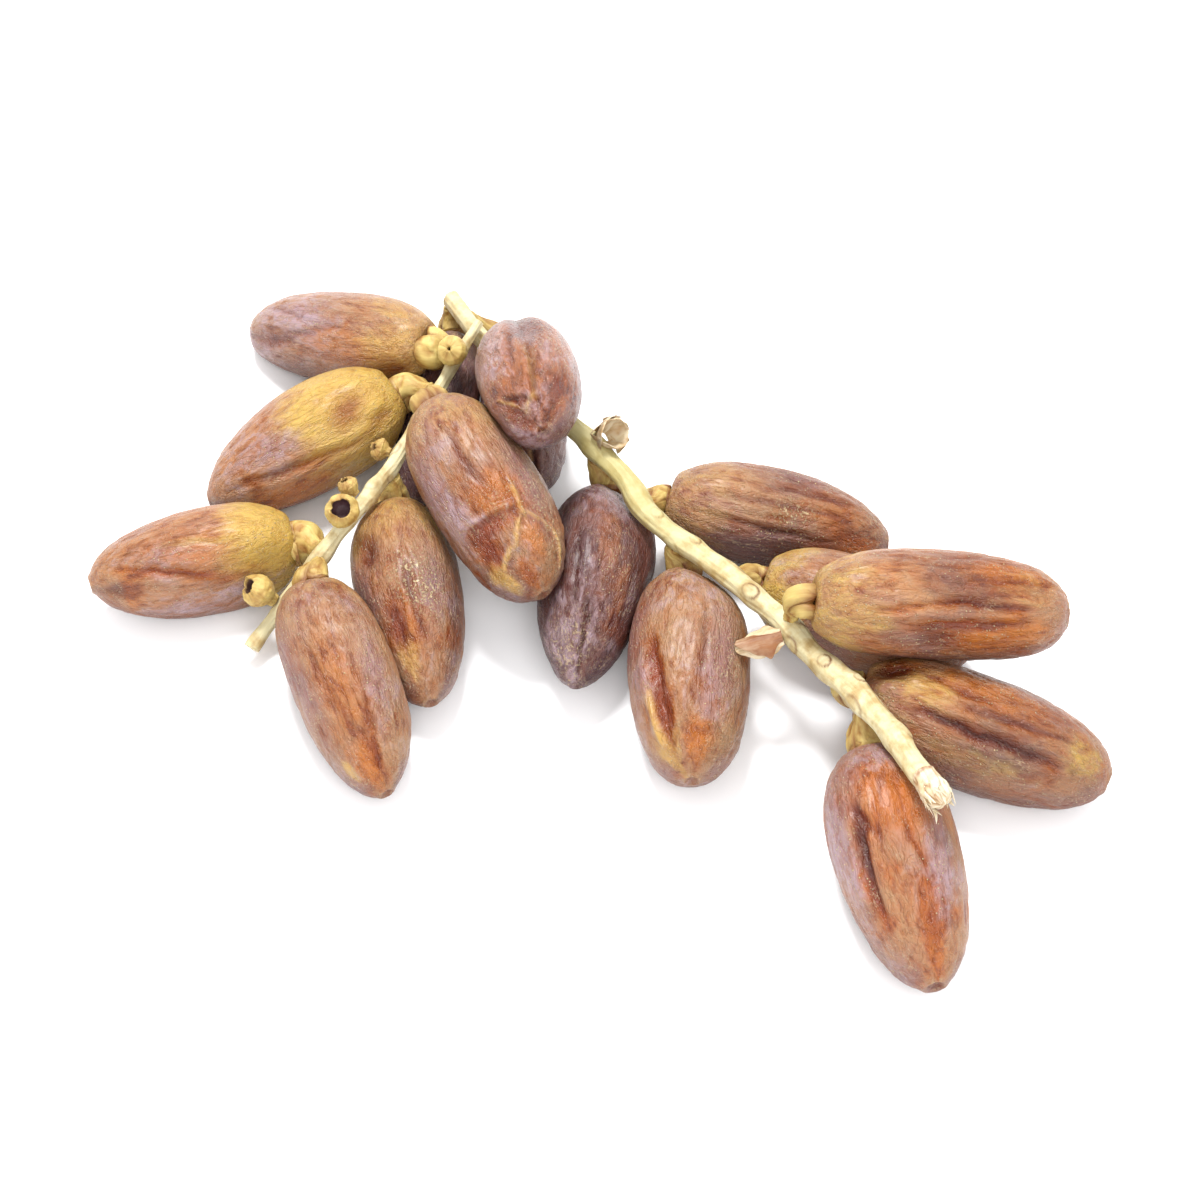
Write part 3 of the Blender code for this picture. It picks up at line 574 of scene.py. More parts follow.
COARSE_ROWS, COARSE_ROUND = 30, 40
ROWS, ROUND = 168, 216
CORE_SHARE = 0.55
SOFTNESS = 9.0


def rays_from_core(axes, down, turn):
    """Starts on the date's core line and ways out of it.

    At the angle down from the stem end, a ray starts at -cos(down) of the core's half length
    and leaves at that same angle to the axis, turned round it.
    """
    ahead = -np.cos(down)[..., None]
    core = axes.half * CORE_SHARE
    out = circling(axes.up, axes.side, turn)
    starts = axes.middle + axes.axis * ahead * core
    ways = axes.axis * ahead + out * np.sin(down)[..., None]
    return starts, ways


def soft_reach(coarse, down, turn):
    """The coarse reaches as a smooth function of both angles.

    The rows are carried over the tip and back up the far side, which makes them periodic both
    ways. Their Fourier terms are faded by exp(-(k/softness)^2) and summed at the new angles.
    """
    both = np.vstack([coarse, np.roll(coarse, COARSE_ROUND // 2, axis=1)[::-1]])
    terms = np.fft.fft2(both) / both.size
    row_waves = np.fft.fftfreq(2 * COARSE_ROWS, 1 / (2 * COARSE_ROWS))
    round_waves = np.fft.fftfreq(COARSE_ROUND, 1 / COARSE_ROUND)
    fade = np.exp(-((row_waves / SOFTNESS) ** 2))[:, None]
    fade = fade * np.exp(-((round_waves / SOFTNESS) ** 2))
    shift = math.pi / COARSE_ROWS / 2
    rows = np.exp(1j * np.outer(down - shift, row_waves))
    columns = np.exp(1j * np.outer(round_waves, turn))
    return np.real(rows @ (terms * fade) @ columns)


# ---------------------------------------------------------------- dates

def date_skin(number, fruit, looks):
    """A date's wrinkled skin, its tints, and its place in its own axes."""
    tri, axes = date_axes(number)
    down = (np.arange(COARSE_ROWS) + 0.5) * math.pi / COARSE_ROWS
    turn = np.arange(COARSE_ROUND) * 2 * math.pi / COARSE_ROUND
    starts, ways = rays_from_core(axes, *np.meshgrid(down, turn, indexing="ij"))
    coarse = reach_of(starts.reshape(-1, 3), ways.reshape(-1, 3), tri)
    down = (np.arange(ROWS) + 0.5) * math.pi / ROWS
    turn = np.arange(ROUND) * 2 * math.pi / ROUND
    reach = soft_reach(coarse.reshape(COARSE_ROWS, COARSE_ROUND), down, turn)
    down, turn = np.meshgrid(down, turn, indexing="ij")
    starts, ways = rays_from_core(axes, down, turn)
    base = starts + ways * reach[..., None]
    local = base - axes.middle
    ahead = local @ axes.axis
    along = np.clip(ahead / (2 * axes.half) + 0.5, 0, 1)
    rest = np.stack([ahead, local @ axes.up, local @ axes.side], axis=-1)
    height, tints = turned_marks(
        along, np.degrees(turn), fruit.marks, 2 * axes.half, reach.max() * 0.95, fruit.seed
    )
    relief = wrinkles(rest, along, tints, fruit)
    pull = np.sin(down) ** 0.6
    height = height * np.clip(pull + 0.3, 0, 1) + relief * looks.wrinkle_depth / MM * pull
    scar, crust = tip_scar(rest, along, TIPS.get("date_" + number, PLAIN_TIP))
    height = height + stem_shoulder(rest, along, fruit) + scar
    skin = base + ways * height[..., None]
    # Painted shade: the skin darkens as it faces downwards, carried by the dark tint on top of its own
    # darker marks and tip.
    painted_underside_shade = 0.85 * smooth_step(-ways[..., 2], -0.25, 0.7)
    values = {
        "gold": tint_of("gold", tints) + stem_gold(along, rest, fruit),
        "bloom": tint_of("bloom", tints) + fruit.bloom * bloom_cloud(rest, along, fruit),
        "amber": tint_of("amber", tints),
        "dark": tint_of("dark", tints) + fruit.dark * smooth_step(along, 0.1, 0.5) + painted_underside_shade,
        "sugar": tint_of("sugar", tints) + crust,
        "relief": np.clip(height * 1.3, -1, 1),
        "rest": rest,
    }
    for name in ("gold", "bloom", "amber", "dark", "sugar"):
        values[name] = np.clip(values[name], 0, 1)
    return closed_skin(skin, values)


def tint_of(name, tints):
    return tints.get(name, 0.0)


def stem_gold(along, rest, fruit):
    """Golden at the stem end, fading over gold_reach of the length with a ragged edge."""
    edge = cloudy(rest * (0.05, 0.16, 0.16), fruit.seed + 3) * 0.10
    return fruit.gold * (1 - smooth_step(along + edge, fruit.gold_reach * 0.5, fruit.gold_reach * 1.5))


def bloom_cloud(rest, along, fruit):
    """A pale waxy film in soft clouds, mostly past the middle."""
    cloud = cloudy(rest * (0.07, 0.11, 0.11), fruit.seed + 4)
    return smooth_step(cloud, -0.35, 0.5) * (0.35 + 0.65 * smooth_step(along, 0.3, 0.7))


def creases(points, seed, width):
    """1 on thin winding lines, the noise's zeros, falling off as exp(-|noise| / width)."""
    return np.exp(-np.abs(noise(points, seed)) / width)


def wrinkles(rest, along, tints, fruit):
    """The skin's own relief, in shares of the wrinkle depth.

    Creases follow the zeros of a noise stretched along the axis, fine ones those of a finer noise
    where the deep ones are few, and hair lines are finer still. The lower half is also crumpled by
    even noise and crossed by short creases every way. Glossy amber skin is smoother.
    """
    seed = fruit.seed * 10
    sway = cloudy(rest * (0.06, 0.12, 0.12), seed, 2)
    bent = rest + np.stack([sway * 0.5, sway, -sway], axis=-1)
    swell = noise(bent * (0.055, 0.13, 0.13), seed + 1)
    deep = creases(bent * (0.055, 0.20, 0.20), seed + 2, 0.15)
    fine = creases(bent * (0.11, 0.46, 0.46), seed + 3, 0.16)
    hair = creases(bent * (0.24, 0.95, 0.95), seed + 4, 0.25)
    crackle = creases(bent * (0.24, 0.34, 0.34), seed + 5, 0.13)
    crumple = cloudy(bent * (0.20, 0.27, 0.27), seed + 7)
    where = smooth_step(noise(rest * (0.07, 0.1, 0.1), seed + 6), -0.25, 0.4)
    calm = 1 - 0.5 * np.clip(tint_of("amber", tints), 0, 1)
    low = smooth_step(along, 0.4, 0.9)
    lines = 0.50 * deep * where + 0.32 * fine * (1 - 0.4 * where) + 0.14 * hair
    folded = fruit.wrinkle * (0.5 * swell - lines * calm + 0.25)
    return folded + fruit.crumple * (0.45 * crumple * (0.35 + 0.65 * low) - 0.40 * crackle * low)


def tip_scar(rest, along, scar):
    """The scar at the tip: its height, a rim at its radius round a pit, and the rim's share."""
    radius, depth, pale = scar
    off_axis = np.hypot(rest[..., 1], rest[..., 2])
    close = smooth_step(along, 0.86, 0.93)
    rim = np.exp(-(((off_axis - radius) / 0.55) ** 2))
    pit = np.exp(-((off_axis / (radius * 0.75)) ** 4))
    return close * (rim * 0.3 - pit * depth), close * pale * np.maximum(rim, pit * 0.5)


def stem_shoulder(rest, along, fruit):
    """The skin rises in a lumpy ring round the cap and sinks under it."""
    off_axis = np.hypot(rest[..., 1], rest[..., 2])
    close = 1 - smooth_step(along, 0.05, 0.16)
    lumps = 1 + 0.5 * noise(rest * (0.1, 0.3, 0.3), fruit.seed + 8)
    ring = np.exp(-(((off_axis - 4.6) / 1.3) ** 2)) * 0.35 * lumps
    dip = np.exp(-((off_axis / 3.2) ** 4)) * 0.5
    return close * (ring - dip)


# ---------------------------------------------------------------- caps, cups and husks

CAP_ROWS, CAP_ROUND = 72, 96
# A cap from its strand to its date, then over the rim and back in: share of the way (1 is the
# date's stem end), share of the full radius, how far its lobes part there.
CAP_PROFILE = [
    (0.00, 0.42, 0.0), (0.12, 0.42, 0.0), (0.28, 0.50, 0.1), (0.42, 0.68, 0.4), (0.56, 0.84, 0.8),
    (0.72, 0.95, 1.0), (0.88, 1.00, 1.0), (1.00, 1.02, 1.0), (1.07, 0.98, 1.0), (1.10, 0.88, 1.0),
    (1.10, 0.68, 0.6), (1.05, 0.38, 0.0),
]
CAP_RADIUS = 4.0
CAP_PATH_POINTS = 40
RING_CORNERS = 10


def cap_path(number, strands):
    """A cubic from the strand's surface, square to it, to the date's stem end, along its axis."""
    points = np.unique(corners_of(f"cap_{number}").reshape(-1, 3).round(4), axis=0)
    _, axes = date_axes(number)
    line = np.concatenate([strand.line for strand in strands.values()])
    near = np.linalg.norm(points[:, None] - line[None], axis=2)
    start_ring = points[np.argsort(near.min(axis=1))[:RING_CORNERS]]
    last_ring = points[np.argsort(-(points @ axes.axis))[:RING_CORNERS]]
    start, end = start_ring.mean(axis=0), last_ring.mean(axis=0)
    foot = line[np.linalg.norm(line - start, axis=1).argmin()]
    leave = unit(start - foot)
    share = np.linspace(0, 1, CAP_PATH_POINTS)[:, None]
    reach = np.linalg.norm(end - start)
    handle = 0.38 * reach
    rest = 1 - share
    inner = rest**2 * share * (start + leave * handle) + rest * share**2 * (end - axes.axis * handle)
    path = rest**3 * (start - leave * 0.6) + 3 * inner + share**3 * end
    tail = end + axes.axis * np.linspace(0.1, 0.16 * reach, 4)[:, None]
    return np.vstack([path, tail])


def table_at(table, shares, column):
    rows = np.array(table)
    return np.interp(shares, np.arange(len(rows)) / (len(rows) - 1), rows[:, column])


def lobes_of(turns, seed, count=3):
    """1 in the middle of each lobe and 0 in the seams between, where two lobes meet in a notch."""
    wander = 0.25 * np.sin(turns + seed) + 0.12 * np.sin(2 * turns + seed * 1.7)
    return np.abs(np.cos(count / 2 * (turns + wander + seed * 0.9))) ** 0.55


def cap_skin(number, width, ragged, brown, strands):
    """A woody calyx: a short neck that opens into three thick lobes pressed on the date.

    Its radius is a profile along the path, cut in at the seams between its lobes, and wrinkled.
    """
    path = cap_path(number, strands)
    seed = int(number)
    shares = np.linspace(0, 1, CAP_ROWS)
    turns = turns_round(CAP_ROWS, CAP_ROUND)
    way, size, part = (table_at(CAP_PROFILE, shares, k)[:, None] for k in range(3))
    lobes = lobes_of(turns, seed)
    way = way + 0.20 * ragged * part * (lobes - 0.8) * smooth_step(way, 0.6, 1.0)
    along = lengths_along(path)
    travel = np.clip(way * along[CAP_PATH_POINTS - 1], 0, along[-1])
    neck = 1 - smooth_step(way, 0.2, 0.5)
    radius = CAP_RADIUS * width * size * (1 - 0.30 * part * (1 - lobes))
    place = np.stack([way * 4, np.cos(turns) * 2.2, np.sin(turns) * 2.2], axis=-1)
    crinkle = noise(place * 0.7, seed * 5) * 0.42 + noise(place * 2.1, seed * 5 + 1) * 0.10
    crinkle = crinkle - creases(place * (0.9, 0.7, 0.7), seed, 0.10) * 0.18 * part
    radius = radius + crinkle * (0.45 + 0.55 * part) + neck * 0.12 * noise(place * 3, seed + 2)
    centre = np.stack([np.interp(travel, along, axis) for axis in path.T], axis=-1)
    upward = upward_for(path)
    tangent, _, _ = path_frames(path, upward)
    ahead = unit(np.stack([np.interp(travel, along, axis) for axis in tangent.T], axis=-1))
    up = unit(upward - ahead * (ahead @ upward)[..., None])
    side = np.cross(up, ahead)
    rings = centre + circling(up, side, turns) * radius[..., None]
    rim = smooth_step(way, 0.85, 1.05)
    values = {
        "brown": np.clip(brown * 0.7 + 0.6 * rim + part * (1 - lobes) ** 1.5 - 0.1, 0, 1),
        "inside": np.zeros_like(radius),
        "rest": place * 1.5,
        "relief": np.clip(crinkle * 3, -1, 1),
    }
    return closed_skin(rings, values)


def upward_for(path):
    """A direction well off the path's own, to measure turns from."""
    chord = unit(path[-1] - path[0])
    return np.array([0.0, 0.0, 1.0]) if abs(chord[2]) < 0.75 else np.array([0.0, -1.0, 0.0])


CUP_ROWS, CUP_ROUND = 64, 96
LEAST_CUP_RADIUS = 0.05
# A cup from its foot up its outside: share of the height, share of the radius.
CUP_OUTLINE = [
    (-0.12, 0.40), (0.05, 0.46), (0.20, 0.76), (0.36, 0.95), (0.54, 1.03), (0.72, 0.99), (0.87, 0.85),
]
# Over the rim and down into its hollow: share of the height, share of the mouth, part of the
# radius left between the mouth and the outline.
MOUTH_OUTLINE = [
    (0.97, 1.0, 0.45), (1.01, 1.0, 0.2), (0.99, 1.0, 0.04), (0.92, 1.0, 0.0), (0.80, 1.05, 0.0),
    (0.60, 1.0, 0.0), (0.45, 0.7, 0.0), (0.40, 0.3, 0.0),
]


def standing(node, strands):
    """Where a cup stands: its foot on the strand, its direction, and its height and radius."""
    tri = corners_of(node)
    middle = tri.reshape(-1, 3).mean(axis=0)
    line = np.concatenate([strand.line for strand in strands.values()])
    foot = line[np.linalg.norm(line - middle, axis=1).argmin()]
    way = unit(middle - foot)
    along = (tri.reshape(-1, 3) - foot) @ way
    across = np.linalg.norm(tri.reshape(-1, 3) - foot - along[:, None] * way, axis=1)
    return foot + way * along.min(), way, along.max() - along.min(), across.max()


def cup_skin(node, looks, strands):
    """A cup left by a dropped date: a thick woody globe with a torn mouth into a hollow darkened by painted
    shade.

    Its rings stand on a line that leaves the strand squarely and bends to where the mouth faces:
    at the height h the line has moved by way * h + (facing - way) * h^2 / 2.
    """
    ragged, mouth, dark, brown, wrinkled, facing = looks
    base, way, height, width = standing(node, strands)
    seed = sum(ord(letter) for letter in node)
    over = [(rise, mouth * share + (0.80 - mouth) * left) for rise, share, left in MOUTH_OUTLINE]
    shares = np.linspace(0, 1, CUP_ROWS)
    rise = table_at(CUP_OUTLINE + over, shares, 0)[:, None]
    size = table_at(CUP_OUTLINE + over, shares, 1)[:, None]
    turns = turns_round(CUP_ROWS, CUP_ROUND)
    lobes = lobes_of(turns, seed % 7)
    inner = smooth_step(shares, 0.60, 0.72)[:, None]
    top = smooth_step(rise, 0.75, 1.0) * (1 - 0.4 * inner)
    place = np.stack([rise * 4 + inner * 9 + 0 * turns, np.cos(turns) * 2, np.sin(turns) * 2], axis=-1)
    crinkle = noise(place * 0.8, seed) * 0.25 + noise(place * 2.0, seed + 1) * 0.10
    crinkle = wrinkled * (crinkle - creases(place * (0.4, 1.1, 1.1), seed + 3, 0.12) * 0.2)
    tear = ragged * top * (0.7 * (lobes - 0.7) + 0.6 * noise(place * (0.0, 1.0, 1.0), seed + 2))
    radius = width * (size + tear * 0.35) + crinkle * (1 - 0.5 * inner)
    level = (rise + tear * 0.4) * height
    bend = (unit(np.array(facing)) - way) * 0.9
    share = np.clip(level / height, 0, 1)[..., None]
    centre = base + way * level[..., None] + bend * height * share**2 / 2
    ahead = unit(way + bend * share)
    up = unit(np.cross(ahead, [0.31, 0.52, 0.79]))
    side = np.cross(ahead, up)
    rings = centre + circling(up, side, turns) * np.maximum(radius, LEAST_CUP_RADIUS)[..., None]
    values = {
        # Painted shade: the inside of the mouth is darkened and browned down into the hollow.
        "brown": np.clip(brown + 0.35 * top * (1 - lobes) + 0.3 * inner * dark, 0, 1),
        "inside": np.clip(inner * dark * smooth_step(0.99 - rise, 0.0, 0.12) + 0 * radius, 0, 1),
        "rest": place * 1.5,
        "relief": np.clip(crinkle * 3, -1, 1),
    }
    return closed_skin(rings, values)


SCALE_ROWS, SCALE_ROUND = 56, 40
# How far a scale's foot stands off the husk's middle line.
SCALE_STANDOFF = 1.0
Scale = namedtuple("Scale", "turn lean length width bow curl blunt brown")
# A husk's scales: turn round the husk, lean outwards, length and half width in millimetres,
# how hollow across, how curled over at the end, how blunt, how brown outside.
HUSKS = {
    "dry_calyx": [
        Scale(205, 0.45, 5.4, 3.5, 0.55, 0.12, 6.0, 0.9),
        Scale(265, 0.45, 5.8, 3.4, 0.55, 0.14, 6.0, 0.2),
        Scale(85, 0.45, 5.8, 3.5, 0.55, 0.15, 6.0, 0.3),
        Scale(325, 0.45, 6.2, 3.7, 0.55, 0.12, 6.0, 0.15),
    ],
    "dry_husk": [
        Scale(262, 0.12, 8.0, 3.5, 0.90, 0.04, 1.3, 1.0),
        Scale(232, 0.00, 8.2, 3.4, 0.50, 0.02, 1.4, 0.0),
    ],
}
HUSK_FACING = {"dry_calyx": (0.45, -0.50, 0.74), "dry_husk": (-0.95, -0.20, -0.22)}


def papery_scale(base, facing, scale, seed):
    """A thin dry scale: a flattened tube along a curling line, hollow across, torn at its end.

    Its half width at the share t is width * (0.45 + 0.55 s(t / 0.4)) * (1 - t^blunt)^0.6, with s
    the smooth step and t ended just short of 1. Across it bends by bow * across^2 / width. It is
    0.9 mm thick at its foot and thins to 0.3 mm.
    """
    out = unit(np.cross(facing, [0.23, 0.31, 0.92]))
    over = np.cross(facing, out)
    angle = math.radians(scale.turn)
    out = out * math.cos(angle) + over * math.sin(angle)
    way = unit(facing + out * scale.lean)
    sideways = np.cross(out, facing)
    up = np.cross(way, sideways)
    up = up * np.sign(-(up @ out))
    t = np.linspace(0, 1, SCALE_ROWS)[:, None]
    turns = turns_round(SCALE_ROWS, SCALE_ROUND)
    wide = (0.45 + 0.55 * smooth_step(t, 0, 0.4)) * (1 - (t * 0.985) ** scale.blunt) ** 0.6 * scale.width
    across = np.cos(turns) * wide
    place = np.stack([t * scale.length * 0.5 + 0 * turns, across, 0 * turns + seed], axis=-1)
    across = across * (1 + 0.22 * noise(place * (0.9, 0.1, 1), seed))
    thin = np.sin(turns) * (0.15 + 0.3 * np.exp(-t * 6))
    veins = -0.10 * creases(place * (0.25, 1.3, 1), seed + 2, 0.15)
    bow = across**2 / scale.width * scale.bow + scale.curl * scale.length * t**2.5
    bow = bow + 0.22 * noise(place * 0.7, seed + 1)
    ahead = t * scale.length * (1 - 0.1 * (across / scale.width) ** 2)
    ahead = ahead + 0.45 * noise(place * (0, 1.2, 1), seed + 4) * t**6
    rings = (base + out * SCALE_STANDOFF + way * ahead[..., None] + sideways * across[..., None]
             + up * (bow + thin + veins)[..., None])
    outer = smooth_step(-np.sin(turns), -0.3, 0.3)
    stain = 0.5 + 0.5 * noise(place * (0.4, 0.5, 1), seed + 6)
    values = {
        "brown": np.clip(scale.brown * outer * (1.1 - 0.75 * t + 0.6 * stain) - 0.15 * (1 - outer), 0, 1),
        "inside": np.zeros_like(across),
        "rest": place,
        "relief": np.clip(veins * 8, -1, 1),
    }
    return closed_skin(rings, values)


# ---------------------------------------------------------------- strands

STRAND_ROUND = 56
ROW_STEP = 0.34
# Share of a knot's height that shows, and the soft swelling under every one: rise and spread.
KNOT_SHARE = 0.62
SWELLING, SWELLING_SPREAD = 0.14, 2.2
# The groove round a scar: its distance in half lengths, how narrow, how deep.
RING_AT, RING_NARROW, RING_DEPTH = 0.72, 0.014, 0.14
Strand = namedtuple("Strand", "line path along")


def strand_lines():
    """Both strands' centre lines: fine ones to build on and coarser ones to measure from."""
    strands = {}
    for name, route in ROUTES.items():
        curve = catmull_rom(route, 3) + LAYOUT_SHIFT
        line, _ = even_path(curve, 0.1)
        path, along = even_path(curve, ROW_STEP)
        blur = np.ones(9) / 9
        padded = np.vstack([np.repeat(path[:1], 4, axis=0), path, np.repeat(path[-1:], 4, axis=0)])
        soft = np.column_stack([np.convolve(axis, blur, "valid") for axis in padded.T])
        strands[name] = Strand(line, soft, along)
    return strands


def strand_skin(name, strand):
    """A stalk with lengthwise grain, swollen where something grows, with scars ringed in brown.

    A knot adds its height times exp(-(u^2+v^2)), with a groove round it at the distance RING_AT,
    and a scar's own top sinks again. The cut ends are shallow cones.
    """
    turns = np.arange(STRAND_ROUND) * 2 * math.pi / STRAND_ROUND
    along, turns = np.meshgrid(strand.along, turns, indexing="ij")
    radius = THICKNESS[name] / 2 * np.interp(along, [0, 25], [0.86, 1.0])
    mark = np.zeros_like(along)
    full = THICKNESS[name] / 2
    for station, angle, long, wide, rise, brown in KNOTS[name]:
        across = (turns - np.radians(angle) + np.pi) % (2 * np.pi) - np.pi
        far = ((along - station) / long) ** 2 + (across * full / wide) ** 2
        radius = radius + rise * KNOT_SHARE * np.exp(-far) * (1 - 0.6 * brown * np.exp(-far * 4))
        radius = radius + SWELLING * np.exp(-(((along - station) / SWELLING_SPREAD) ** 2))
        lower = 0.35 + 0.65 * smooth_step(across * full / wide + (along - station) / long, -0.6, 0.5)
        ring = np.exp(-((np.sqrt(far) - RING_AT) ** 2) / RING_NARROW) * lower
        radius = radius - RING_DEPTH * brown * ring
        mark = np.maximum(mark, brown * (ring * 1.4 + 0.25 * np.exp(-far * 3)))
    place = np.stack([along, np.cos(turns) * full, np.sin(turns) * full], axis=-1)
    grain = ridged(place * (0.05, 0.9, 0.9), 3) * 0.16 + noise(place * (0.12, 2.2, 2.2), 4) * 0.09
    lumps = cloudy(place * (0.12, 0.25, 0.25), 5) * 0.16
    flat = 0.10 * np.cos(2 * turns + along * 0.03)
    radius = radius + grain - 0.08 + lumps + flat
    path = strand.path + sway_of(strand.along)
    rings = swept(path, radius, turns, np.array([0.0, 0.0, 1.0]))
    end_tilt = np.array([0.35, -0.35])
    values = {
        # Brown: the scars' own brown outlines, plus painted shade in patches on the strand's lower side.
        "brown": np.clip(mark + 0.5 * smooth_step(-np.cos(turns), 0.1, 0.8) * lower_side_painted_shade(place), 0, 1),
        "green": 0.7 * np.exp(-((along - 52) / 24) ** 2) * (name == "long_strand"),
        "rest": place,
        "relief": np.clip((grain + lumps) * 3, -1, 1),
    }
    middle = rings[[0, -1]].mean(axis=1)
    tangent = unit(path[[1, -1]] - path[[0, -2]])
    cut = middle + tangent * end_tilt[:, None]
    return closed_skin(rings, values, cut)


def lower_side_painted_shade(place):
    """Patches of painted shade that brown the strand's lower side unevenly."""
    return smooth_step(noise(place * (0.06, 0.4, 0.4), 12), -0.5, 0.3)


def sway_of(along):
    """A fine sideways wander of the stalk, about a fifth of a millimetre."""
    place = np.stack([along * 0.09, np.zeros_like(along), np.ones_like(along) * 7.3], axis=-1)
    return np.stack([noise(place, 1), noise(place, 2), noise(place, 3) * 0.5], axis=-1) * 0.4


FIBRES = 44
FIBRE_ROWS, FIBRE_ROUND = 18, 7
BUNDLE_ROWS, BUNDLE_ROUND = 60, 90
# The bundle of fibre at the frayed end: distance past the cut, radius.
BUNDLE = [(-1.2, 1.5), (-0.6, 2.1), (0.2, 2.2), (1.4, 2.3), (2.8, 2.7), (4.0, 2.6), (5.0, 2.0), (5.6, 0.9)]


def frayed_skins(strand):
    """The torn end of the strand: a lumpy bundle of fibre under short loose ends that lift off it.

    The bundle is grooved lengthwise by creases. Each loose end is a bent, flattened taper.
    """
    draw = np.random.default_rng(31)
    end = strand.path[-1]
    way = unit(strand.path[-1] - strand.path[-8])
    way = unit(np.array([way[0], way[1], way[2] * 0.25]))
    side = unit(np.cross([0.0, 0.0, 1.0], way))
    up = np.cross(way, side)
    shares = np.linspace(0, 1, BUNDLE_ROWS)
    turns = turns_round(BUNDLE_ROWS, BUNDLE_ROUND)
    ahead, radius = (table_at(BUNDLE, shares, k)[:, None] + 0 * turns for k in range(2))
    place = np.stack([ahead, np.cos(turns) * 2.4, np.sin(turns) * 2.4], axis=-1)
    grooves = creases(place * (0.22, 1.1, 1.1), 3, 0.2)
    lumps = noise(place * (0.4, 0.45, 0.45), 8)
    radius = radius * (1 + 0.22 * lumps) - 0.34 * grooves * smooth_step(ahead, -0.6, 0.6)
    rings = (end + way * (ahead + 0.5 * lumps * smooth_step(ahead, 3, 5))[..., None]
             + side * (np.cos(turns) * radius)[..., None] + up * (np.sin(turns) * radius)[..., None])
    collar = np.exp(-(((ahead + 0.3) / 0.5) ** 2))
    skins = [closed_skin(rings, {
        "brown": np.clip(0.85 * collar * (0.6 + noise(place, 5)) + 0.35 * grooves * (1 - collar), 0, 1),
        "inside": 0 * turns, "rest": place, "relief": np.clip(0.4 - grooves * 1.2, -1, 1),
    })]
    t = np.linspace(0, 1, FIBRE_ROWS)[:, None]
    turns = turns_round(FIBRE_ROWS, FIBRE_ROUND)
    for _ in range(FIBRES):
        angle, start = draw.uniform(0, 2 * math.pi), draw.uniform(0.2, 4.2)
        length, splay = draw.uniform(1.4, 3.2), draw.uniform(0.05, 0.45)
        curl = draw.uniform(-0.9, 0.9)
        wide, thin = draw.uniform(0.22, 0.5), draw.uniform(0.10, 0.18)
        out = side * math.cos(angle) + up * math.sin(angle)
        across = np.cross(way, out)
        root = np.interp(start, *np.array(BUNDLE).T) - 0.25
        line = end + way * (start + t * length) + out * (root + splay * length * t**1.6 - 0.2 * start * t)
        line = line + across * curl * t**2
        taper = (1 - t**2.5) * 0.9 + 0.08
        rings = line[:, None] + (across * (np.cos(turns) * wide * taper)[..., None]
                                 + out * (np.sin(turns) * thin * taper)[..., None])
        place = np.stack([t * length + 0 * turns, np.cos(turns) * wide, start + 0 * turns], axis=-1)
        values = {
            "brown": np.clip(draw.uniform(-0.2, 0.3) + 0.15 * t + 0 * turns, 0, 1),
            "inside": np.zeros_like(turns),
            "rest": place * 1.5,
            "relief": 0 * turns,
        }
        skins.append(closed_skin(rings, values))
    return skins


# ---------------------------------------------------------------- materials

def add_node(tree, kind, inputs=None, **settings):
    """Adds a node, sets it up, and gives each named or numbered input a value or a link."""
    made = tree.nodes.new(kind)
    for name, value in settings.items():
        setattr(made, name, value)
    for key, value in (inputs or {}).items():
        if isinstance(value, bpy.types.NodeSocket):
            tree.links.new(value, made.inputs[key])
        else:
            made.inputs[key].default_value = value
    return made


def blank_material(name):
    made = bpy.data.materials.new(name)
    made.use_nodes = True
    made.node_tree.nodes.clear()
    return made, made.node_tree


# The patterns in a date's skin: stretch along the axis, fineness per millimetre, detail, swirl.
SKIN_PATTERNS = {
    "mottle": (0.7, 0.17, 5.0, 0.7), "tone": (0.6, 0.085, 3.0, 0.3), "streaks": (0.22, 0.8, 6.0, 0.3),
    "lines": (0.30, 0.55, 3.0, 0.3), "crumbs": (1.0, 1.9, 4.0, 0.0), "fine": (0.35, 2.4, 5.0, 0.4),
    "veins": (0.6, 0.42, 3.0, 1.2), "folds": (0.30, 0.75, 2.0, 0.8),
}

# The pale ridge-line tint is partly waxy bloom and partly painted highlight.
VEIN_TINT, RIDGE_LINE_AND_HIGHLIGHT_TINT, SUGAR_TINT = "#9A8288", "#B59C7E", "#B6A07C"
# Painted shade: what a groove or a crack multiplies the colour by, darkening the hollows.
GROOVE_PAINTED_SHADE = (0.52, 0.27, 0.17, 1.0)
CRACK_PAINTED_SHADE = (0.55, 0.30, 0.20, 1.0)
WOOD_GROOVE_PAINTED_SHADE = (0.62, 0.42, 0.26, 1.0)


